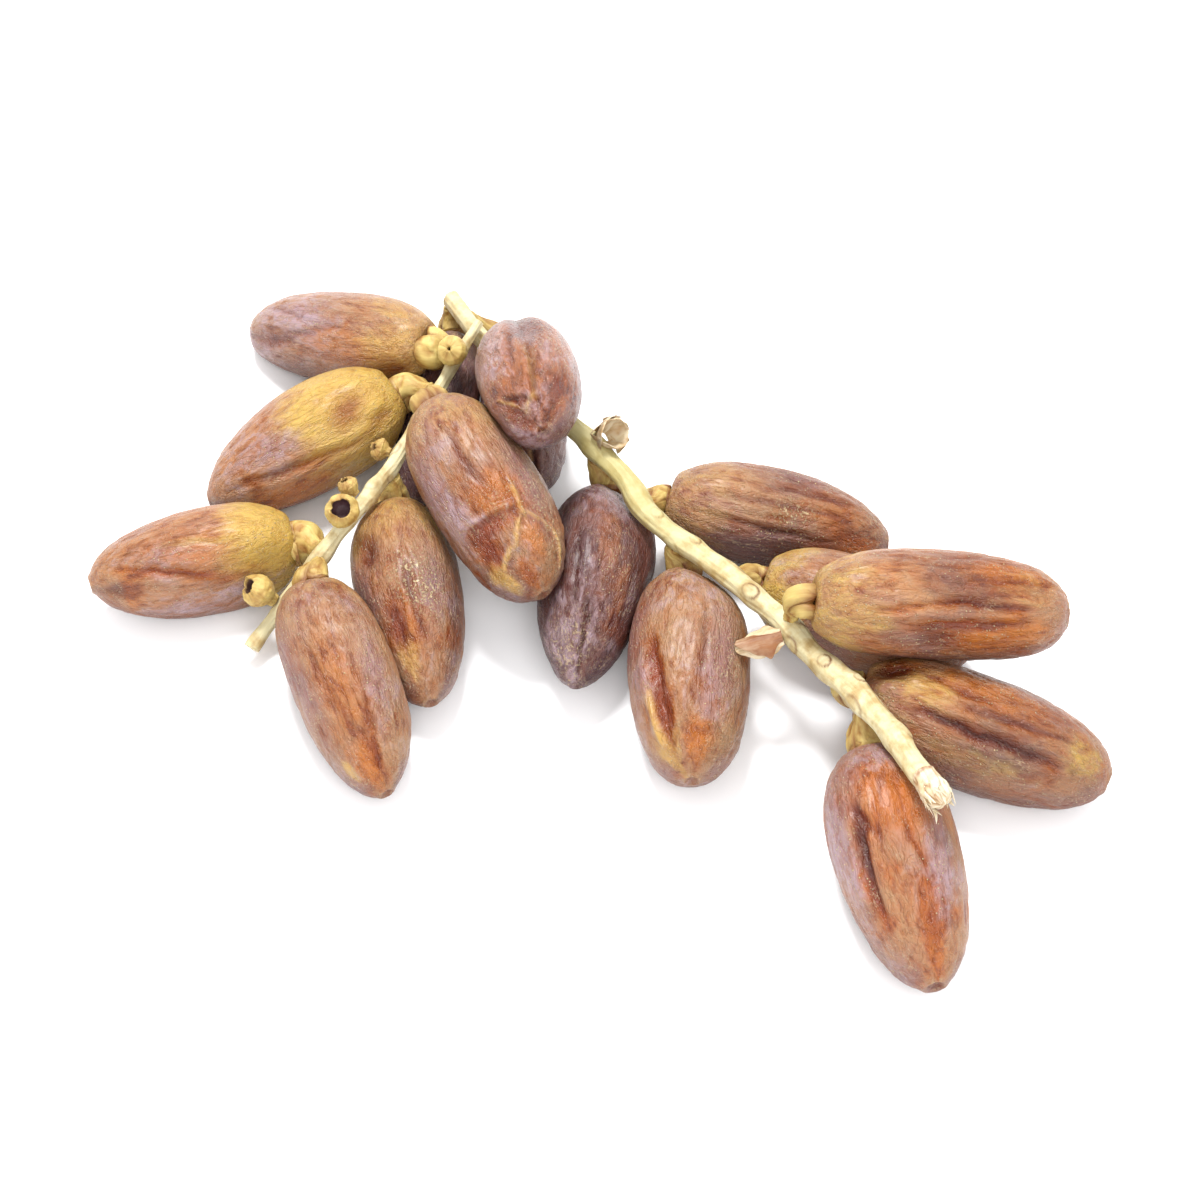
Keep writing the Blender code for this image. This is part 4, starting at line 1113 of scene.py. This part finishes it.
def date_skin_material(slot, flesh, deep, tan, mauve, gold, plum, glow):
    """Waxy date skin: a thin, cloudy, pinkish film over sugar-rich flesh that glows amber.

    Where the film is thin the skin is bare, glossy and orange-brown, and where it is thick it is
    dull, tan or mauve. Grooves and fine folds are darkened to a saturated brown as painted shade,
    ridges carry fine pale lines that are partly waxy bloom and partly painted highlight, and
    specks and crusts of dried sugar lie on top.
    """
    made, tree = blank_material(slot)
    marks = {}
    for name in ("gold", "bloom", "amber", "dark", "sugar", "relief"):
        marks[name] = add_node(tree, "ShaderNodeAttribute", attribute_name=name).outputs["Fac"]
    rest = add_node(tree, "ShaderNodeAttribute", attribute_name="rest").outputs["Vector"]
    patterns = {}
    for name, (stretch, fineness, detail, swirl) in SKIN_PATTERNS.items():
        laid = add_node(tree, "ShaderNodeMapping", {"Vector": rest, "Scale": (stretch, 1.0, 1.0)})
        patterns[name] = add_node(tree, "ShaderNodeTexNoise", {
            "Vector": laid.outputs["Vector"], "Scale": fineness, "Detail": detail,
            "Roughness": 0.6, "Distortion": swirl}).outputs["Fac"]
    film = -2.1
    for amount, weight in (
        (patterns["mottle"], 2.6), (patterns["streaks"], 1.7), (patterns["veins"], 1.2),
        (marks["relief"], 0.55), (marks["bloom"], 0.3), (marks["amber"], -0.8), (marks["dark"], -0.2),
    ):
        film = add_node(tree, "ShaderNodeMath", {
            0: amount, 1: weight, 2: film}, operation="MULTIPLY_ADD").outputs["Value"]
    film = add_node(tree, "ShaderNodeClamp", {"Value": film, "Min": 0.0, "Max": 0.92}).outputs["Result"]
    depth = add_node(tree, "ShaderNodeMapRange", {
        "Value": patterns["streaks"], "From Min": 0.62, "From Max": 0.38}).outputs["Result"]
    dusk = add_node(tree, "ShaderNodeMapRange", {
        "Value": patterns["tone"], "From Min": 0.44, "From Max": 0.64, "To Max": 0.8}).outputs["Result"]
    bare = add_node(tree, "ShaderNodeMix", {
        0: depth, 6: linear(flesh), 7: linear(deep)}, data_type="RGBA").outputs[2]
    veil = add_node(tree, "ShaderNodeMix", {
        0: dusk, 6: linear(tan), 7: linear(mauve)}, data_type="RGBA").outputs[2]
    colour = add_node(tree, "ShaderNodeMix", {0: film, 6: bare, 7: veil}, data_type="RGBA").outputs[2]
    ragged = -1.0
    for amount in (patterns["mottle"], patterns["streaks"]):
        ragged = add_node(tree, "ShaderNodeMath", {
            0: amount, 1: 1.0, 2: ragged}, operation="MULTIPLY_ADD").outputs["Value"]
    veined = add_node(tree, "ShaderNodeMapRange", {
        "Value": patterns["veins"], "From Min": 0.42, "From Max": 0.62, "To Min": 0.25}).outputs["Result"]
    veined = add_node(tree, "ShaderNodeMath", {
        0: veined, 1: marks["bloom"]}, operation="MULTIPLY").outputs["Value"]
    # The dark mask also carries painted shade: on the skin facing downwards and in darkened folds and dents.
    for share, tint, most in (
        (marks["dark"], plum, 0.75), (marks["amber"], glow, 0.8), (marks["gold"], gold, 0.9),
        (veined, VEIN_TINT, 0.8),
    ):
        edge = add_node(tree, "ShaderNodeMath", {
            0: ragged, 1: 1.6, 2: share}, operation="MULTIPLY_ADD").outputs["Value"]
        gate = add_node(tree, "ShaderNodeMath", {0: share, 1: 3.0}, operation="MULTIPLY", use_clamp=True)
        edge = add_node(tree, "ShaderNodeMath", {
            0: edge, 1: gate.outputs["Value"]}, operation="MULTIPLY", use_clamp=True).outputs["Value"]
        edge = add_node(tree, "ShaderNodeMath", {0: edge, 1: most}, operation="MULTIPLY").outputs["Value"]
        colour = add_node(tree, "ShaderNodeMix", {
            0: edge, 6: colour, 7: linear(tint)}, data_type="RGBA").outputs[2]
    # Painted shade: the skin is darkened where its relief sinks into a groove.
    painted_groove_shade = add_node(tree, "ShaderNodeMapRange", {
        "Value": marks["relief"], "From Min": -0.05, "From Max": -0.9}).outputs["Result"]
    colour = add_node(tree, "ShaderNodeMix", {
        0: painted_groove_shade, 6: colour, 7: GROOVE_PAINTED_SHADE}, data_type="RGBA", blend_type="MULTIPLY").outputs[2]
    off_fold = add_node(tree, "ShaderNodeMath", {
        0: patterns["folds"], 1: -0.5}, operation="ADD").outputs["Value"]
    off_fold = add_node(tree, "ShaderNodeMath", {0: off_fold}, operation="ABSOLUTE").outputs["Value"]
    off_line = add_node(tree, "ShaderNodeMath", {
        0: patterns["lines"], 1: -0.5}, operation="ADD").outputs["Value"]
    off_line = add_node(tree, "ShaderNodeMath", {0: off_line}, operation="ABSOLUTE").outputs["Value"]
    line = add_node(tree, "ShaderNodeMapRange", {
        "Value": off_line, "From Min": 0.014, "From Max": 0.0}).outputs["Result"]
    thick = add_node(tree, "ShaderNodeMapRange", {
        "Value": patterns["mottle"], "From Min": 0.45, "From Max": 0.62, "To Max": 0.6}).outputs["Result"]
    line = add_node(tree, "ShaderNodeMath", {0: line, 1: thick}, operation="MULTIPLY").outputs["Value"]
    # Painted shade: thin dark lines along the fine folds that the bump sinks.
    painted_crack_shade = add_node(tree, "ShaderNodeMapRange", {
        "Value": off_fold, "From Min": 0.02, "From Max": 0.0, "To Max": 0.28}).outputs["Result"]
    colour = add_node(tree, "ShaderNodeMix", {
        0: painted_crack_shade, 6: colour, 7: CRACK_PAINTED_SHADE}, data_type="RGBA", blend_type="MULTIPLY").outputs[2]
    # Pale lines on the ridges: partly waxy bloom, partly painted highlight.
    colour = add_node(tree, "ShaderNodeMix", {
        0: line, 6: colour, 7: linear(RIDGE_LINE_AND_HIGHLIGHT_TINT)}, data_type="RGBA").outputs[2]
    grains = add_node(tree, "ShaderNodeTexVoronoi", {"Vector": rest, "Scale": 1.5})
    dots = add_node(tree, "ShaderNodeMapRange", {
        "Value": grains.outputs["Distance"], "From Min": 0.26, "From Max": 0.14}).outputs["Result"]
    kept = add_node(tree, "ShaderNodeMapRange", {
        "Value": grains.outputs["Color"], "From Min": 0.52, "From Max": 0.58}).outputs["Result"]
    crowd = add_node(tree, "ShaderNodeMapRange", {
        "Value": patterns["tone"], "From Min": 0.46, "From Max": 0.58, "To Min": 0.10,
        "To Max": 0.95}).outputs["Result"]
    for more in (kept, crowd):
        dots = add_node(tree, "ShaderNodeMath", {0: dots, 1: more}, operation="MULTIPLY").outputs["Value"]
    crust = add_node(tree, "ShaderNodeMapRange", {
        "Value": patterns["crumbs"], "From Min": 0.52, "From Max": 0.60, "To Max": 0.9}).outputs["Result"]
    crust = add_node(tree, "ShaderNodeMath", {
        0: crust, 1: marks["sugar"]}, operation="MULTIPLY").outputs["Value"]
    sugar = add_node(tree, "ShaderNodeMath", {0: crust, 1: dots}, operation="MAXIMUM").outputs["Value"]
    colour = add_node(tree, "ShaderNodeMix", {
        0: sugar, 6: colour, 7: linear(SUGAR_TINT)}, data_type="RGBA").outputs[2]
    rough = 0.30
    for share, level in ((film, 0.44), (marks["amber"], 0.20), (sugar, 0.65)):
        rough = add_node(tree, "ShaderNodeMix", {0: share, 2: rough, 3: level}, data_type="FLOAT").outputs[0]
    fold = add_node(tree, "ShaderNodeMapRange", {
        "Value": off_fold, "From Min": 0.06, "From Max": 0.0}).outputs["Result"]
    height = 0.0
    for amount, weight in (
        (patterns["fine"], 0.7), (patterns["streaks"], 0.8), (patterns["veins"], 0.5), (fold, -0.25),
        (sugar, 0.5), (line, 0.3),
    ):
        height = add_node(tree, "ShaderNodeMath", {
            0: amount, 1: weight, 2: height}, operation="MULTIPLY_ADD").outputs["Value"]
    normal = add_node(tree, "ShaderNodeBump", {
        "Height": height, "Strength": 0.9, "Distance": 0.0005}).outputs["Normal"]
    shader = add_node(tree, "ShaderNodeBsdfPrincipled", {
        "Base Color": colour, "Roughness": rough, "Normal": normal, "Subsurface Weight": 0.12,
        "Subsurface Scale": 0.003, "Subsurface Radius": (1.0, 0.35, 0.12), "Coat Weight": 0.10,
        "Coat Roughness": 0.2, "IOR": 1.45})
    add_node(tree, "ShaderNodeOutputMaterial", {"Surface": shader.outputs["BSDF"]})
    return made


def woody_material(slot, pale, tan, brown, dark, inner="inside"):
    """Dry plant wood or papery husk: fibres lengthwise, half matt, browner where it is old or torn; painted
    shade darkens its hollows, a cup's inside and a strand's lower side.
    """
    made, tree = blank_material(slot)
    marks = {}
    for name in ("brown", inner, "relief"):
        marks[name] = add_node(tree, "ShaderNodeAttribute", attribute_name=name).outputs["Fac"]
    rest = add_node(tree, "ShaderNodeAttribute", attribute_name="rest").outputs["Vector"]
    long_map = add_node(tree, "ShaderNodeMapping", {"Vector": rest, "Scale": (0.14, 1.0, 1.0)})
    fibres = add_node(tree, "ShaderNodeTexNoise", {
        "Vector": long_map.outputs["Vector"], "Scale": 1.6, "Detail": 6.0, "Roughness": 0.65})
    mottle = add_node(tree, "ShaderNodeTexNoise", {
        "Vector": rest, "Scale": 0.30, "Detail": 4.0, "Roughness": 0.6})
    blotch = add_node(tree, "ShaderNodeMapRange", {
        "Value": mottle.outputs["Fac"], "From Min": 0.42, "From Max": 0.66}).outputs["Result"]
    uneven = add_node(tree, "ShaderNodeMath", {
        0: fibres.outputs["Fac"], 1: 0.8, 2: -0.42}, operation="MULTIPLY_ADD").outputs["Value"]
    blotchy = add_node(tree, "ShaderNodeMath", {
        0: mottle.outputs["Fac"], 1: 0.9, 2: -0.45}, operation="MULTIPLY_ADD").outputs["Value"]
    brown_share = marks["brown"]
    for more in (uneven, blotchy):
        brown_share = add_node(tree, "ShaderNodeMath", {
            0: brown_share, 1: more}, operation="ADD", use_clamp=True).outputs["Value"]
    colour = linear(pale)
    for share, tint in ((blotch, tan), (brown_share, brown), (marks[inner], dark)):
        colour = add_node(tree, "ShaderNodeMix", {
            0: share, 6: colour, 7: linear(tint)}, data_type="RGBA").outputs[2]
    # Painted shade: the wood is darkened where its relief sinks into a hollow.
    painted_groove_shade = add_node(tree, "ShaderNodeMapRange", {
        "Value": marks["relief"], "From Min": 0.0, "From Max": -0.9}).outputs["Result"]
    colour = add_node(tree, "ShaderNodeMix", {
        0: painted_groove_shade, 6: colour, 7: WOOD_GROOVE_PAINTED_SHADE}, data_type="RGBA", blend_type="MULTIPLY").outputs[2]
    rough = add_node(tree, "ShaderNodeMapRange", {
        "Value": fibres.outputs["Fac"], "To Min": 0.42, "To Max": 0.7}).outputs["Result"]
    normal = add_node(tree, "ShaderNodeBump", {
        "Height": fibres.outputs["Fac"], "Strength": 0.6, "Distance": 0.0003}).outputs["Normal"]
    shader = add_node(tree, "ShaderNodeBsdfPrincipled", {
        "Base Color": colour, "Roughness": rough, "Normal": normal, "Subsurface Weight": 0.08,
        "Subsurface Scale": 0.002, "Subsurface Radius": (1.0, 0.7, 0.4)})
    add_node(tree, "ShaderNodeOutputMaterial", {"Surface": shader.outputs["BSDF"]})
    return made


# Each slot's colours. Skins: flesh, deep flesh, tan film, mauve film, gold, plum, glowing amber.
# Wood: pale, tan, brown, and the painted shade inside a cup's hollow (on the strands, green).
DATE_COLOURS = {
    "date_brown": ("#91531D", "#6C330F", "#977250", "#795253", "#AE8840", "#452020", "#A25C13"),
    "date_golden": ("#9F5911", "#733910", "#9E734C", "#7B5349", "#B39240", "#472428", "#A86212"),
    "date_dark": ("#7F4423", "#4F2015", "#795953", "#5A3B44", "#997737", "#31151D", "#91531F"),
    "date_amber": ("#9B531A", "#6F3311", "#99704C", "#795253", "#A67D37", "#45201E", "#A2580D"),
}
WOOD_COLOURS = {
    "woody_cap": ("#BFA863", "#AC8B46", "#794C1D", "#482D31"),
    "papery_husk": ("#D7CCB3", "#C3AD83", "#835126", "#593926"),
}
STRAND_COLOURS = ("#C5BB94", "#B09864", "#68401E", "#A69A5D")


def finishes():
    made = {slot: date_skin_material(slot, *hexes) for slot, hexes in DATE_COLOURS.items()}
    made.update({slot: woody_material(slot, *hexes) for slot, hexes in WOOD_COLOURS.items()})
    made["strand"] = woody_material("strand", *STRAND_COLOURS, "green")
    return made


# ---------------------------------------------------------------- the add-on

class DateLooks(bpy.types.PropertyGroup):
    wrinkle_depth: FloatProperty(
        name="Wrinkle depth", description="Depth of a date's deepest wrinkles",
        default=0.00055, min=0.0, max=0.002, unit="LENGTH", subtype="DISTANCE",
    )
    wrinkle_seed: IntProperty(
        name="Wrinkle seed", description="Which wrinkles the dates get", default=0, min=0,
    )


class StageLooks(bpy.types.PropertyGroup):
    floor_colour: FloatVectorProperty(
        name="Floor colour", description="Colour of the pale floor", subtype="COLOR", size=3,
        default=(0.95, 0.95, 0.96), min=0.0, max=1.0,
    )
    elevation: FloatProperty(
        name="Camera elevation", description="How far the camera looks down", subtype="ANGLE",
        default=math.radians(52), min=0.0, max=math.pi / 2,
    )
    distance: FloatProperty(
        name="Camera distance", description="From the camera to the bunch's middle",
        default=0.480, min=0.1, unit="LENGTH", subtype="DISTANCE",
    )
    focal_length: FloatProperty(
        name="Focal length", description="Of the camera's lens, in millimetres",
        default=80.64, min=10.0, max=300.0,
    )
    sky_light: FloatProperty(
        name="Sky light", description="Strength of the even white light all round",
        default=1.10, min=0.0,
    )
    lamp_power: FloatProperty(
        name="Lamp power", description="Power of the soft lamps, before each one's share",
        default=4.0, min=0.0, unit="POWER",
    )


class MakeDates(bpy.types.Operator):
    """Makes the sixteen wrinkled fruits"""
    bl_idname = "dates.make_dates"
    bl_label = "Dates"

    def execute(self, context):
        looks = context.scene.date_looks
        for name, fruit in FRUITS.items():
            fruit = fruit._replace(seed=fruit.seed + looks.wrinkle_seed)
            skin = date_skin(name[-2:], fruit, looks)
            make_piece("skin_" + name, [skin], FINISHES[fruit.slot], [name])
        return {"FINISHED"}


class MakeCaps(bpy.types.Operator):
    """Makes the lobed woody cap of every date"""
    bl_idname = "dates.make_caps"
    bl_label = "Caps"

    def execute(self, context):
        strands = strand_lines()
        for name, (width, ragged, brown) in CAP_LOOKS.items():
            skin = cap_skin(name[-2:], width, ragged, brown, strands)
            make_piece("calyx_" + name, [skin], FINISHES["woody_cap"], [name])
        return {"FINISHED"}


class MakeCups(bpy.types.Operator):
    """Makes the empty cups whose dates have dropped"""
    bl_idname = "dates.make_cups"
    bl_label = "Empty cups"

    def execute(self, context):
        strands = strand_lines()
        for name, looks in CUP_LOOKS.items():
            skin = cup_skin(name, looks, strands)
            make_piece("open_" + name, [skin], FINISHES["woody_cap"], [name])
        return {"FINISHED"}


class MakeHusks(bpy.types.Operator):
    """Makes the dry calyx and the dry husk from thin papery scales"""
    bl_idname = "dates.make_husks"
    bl_label = "Papery husks"

    def execute(self, context):
        strands = strand_lines()
        for name in ("dry_calyx", "dry_husk"):
            base, way, _, _ = standing(name, strands)
            facing = unit(np.array(HUSK_FACING[name]))
            skins = [papery_scale(base - way * 0.4, facing, scale, k) for k, scale in enumerate(HUSKS[name])]
            make_piece("papery_" + name, skins, FINISHES["papery_husk"], [name])
        return {"FINISHED"}


class MakeStrands(bpy.types.Operator):
    """Makes the two cut strands and the frayed end"""
    bl_idname = "dates.make_strands"
    bl_label = "Strands"

    def execute(self, context):
        strands = strand_lines()
        for name, strand in strands.items():
            make_piece("stalk_" + name, [strand_skin(name, strand)], FINISHES["strand"], [name])
        fibres = frayed_skins(strands["long_strand"])
        make_piece("fibres_frayed_tip", fibres, FINISHES["papery_husk"], ["frayed_tip"])
        return {"FINISHED"}


class MakeStage(bpy.types.Operator):
    """Makes the pale floor, the soft white light and the camera"""
    bl_idname = "dates.make_stage"
    bl_label = "Floor, light and camera"

    def execute(self, context):
        looks = context.scene.stage_looks
        make_floor(looks)
        make_light(context.scene, looks)
        make_camera(context.scene, looks)
        return {"FINISHED"}


# Half the side of the floor, in metres.
FLOOR_REACH = 3.0
# The soft lamps: name, place and size in metres, share of the lamp power.
LAMPS = (
    ("lamp_behind", (-0.08, 0.26, 0.62), 0.20, 1.45),
    ("lamp_front", (0.10, -0.50, 0.45), 0.50, 0.75),
)


def make_floor(looks):
    """A wide square under the bunch, in plain matt white."""
    size = FLOOR_REACH
    mesh = bpy.data.meshes.new("floor")
    corners = [(-size, -size, 0), (size, -size, 0), (size, size, 0), (-size, size, 0)]
    mesh.from_pydata(corners, [], [(0, 1, 2, 3)])
    floor = bpy.data.objects.new("floor", mesh)
    bpy.context.scene.collection.objects.link(floor)
    made, tree = blank_material("floor_white_card")
    shader = add_node(tree, "ShaderNodeBsdfPrincipled", {
        "Base Color": (*looks.floor_colour, 1), "Roughness": 0.8, "Specular IOR Level": 0.2})
    add_node(tree, "ShaderNodeOutputMaterial", {"Surface": shader.outputs["BSDF"]})
    mesh.materials.append(made)


def make_light(scene, looks):
    """Even white light all round, a soft lamp above and behind, and a larger one in front."""
    world = bpy.data.worlds.new("white_tent")
    world.use_nodes = True
    backdrop = world.node_tree.nodes["Background"]
    backdrop.inputs["Color"].default_value = (1.0, 1.0, 1.0, 1.0)
    backdrop.inputs["Strength"].default_value = looks.sky_light
    scene.world = world
    for name, place, size, share in LAMPS:
        data = bpy.data.lights.new(name, "AREA")
        data.shape = "DISK"
        data.size = size
        data.energy = looks.lamp_power * share
        lamp = bpy.data.objects.new(name, data)
        lamp.location = place
        lamp.rotation_euler = (-Vector(place)).to_track_quat("-Z", "Y").to_euler()
        scene.collection.objects.link(lamp)


def make_camera(scene, looks):
    data = bpy.data.cameras.new("camera")
    data.lens = looks.focal_length
    data.sensor_width = 36.0
    camera = bpy.data.objects.new("camera", data)
    back = Vector((0, -math.cos(looks.elevation), math.sin(looks.elevation)))
    camera.location = Vector(LAYOUT_SHIFT * MM) + back * looks.distance
    camera.rotation_euler = (-back).to_track_quat("-Z", "Y").to_euler()
    data.clip_start = 0.01
    scene.collection.objects.link(camera)
    scene.camera = camera
    scene.view_settings.view_transform = "Standard"


class DatesPanel(bpy.types.Panel):
    """Lists the steps that make the bunch, with their settings"""
    bl_idname = "VIEW3D_PT_dates"
    bl_label = "Bunch of dates"
    bl_space_type = "VIEW_3D"
    bl_region_type = "UI"
    bl_category = "Dates"

    def draw(self, context):
        for looks in (context.scene.date_looks, context.scene.stage_looks):
            for name in looks.__annotations__:
                self.layout.prop(looks, name)
        for step in STEPS:
            self.layout.operator(step.bl_idname)


STEPS = (MakeDates, MakeCaps, MakeCups, MakeHusks, MakeStrands, MakeStage)
CLASSES = (DateLooks, StageLooks, *STEPS, DatesPanel)
FINISHES = {}


def register():
    for made in CLASSES:
        bpy.utils.register_class(made)
    bpy.types.Scene.date_looks = PointerProperty(type=DateLooks)
    bpy.types.Scene.stage_looks = PointerProperty(type=StageLooks)


def unregister():
    del bpy.types.Scene.stage_looks
    del bpy.types.Scene.date_looks
    for made in reversed(CLASSES):
        bpy.utils.unregister_class(made)


def main():
    register()
    FINISHES.update(finishes())
    bpy.ops.dates.make_dates()
    bpy.ops.dates.make_caps()
    bpy.ops.dates.make_cups()
    bpy.ops.dates.make_husks()
    bpy.ops.dates.make_strands()
    bpy.ops.dates.make_stage()
    bpy.context.view_layer.update()


if __name__ == "__main__":
    main()
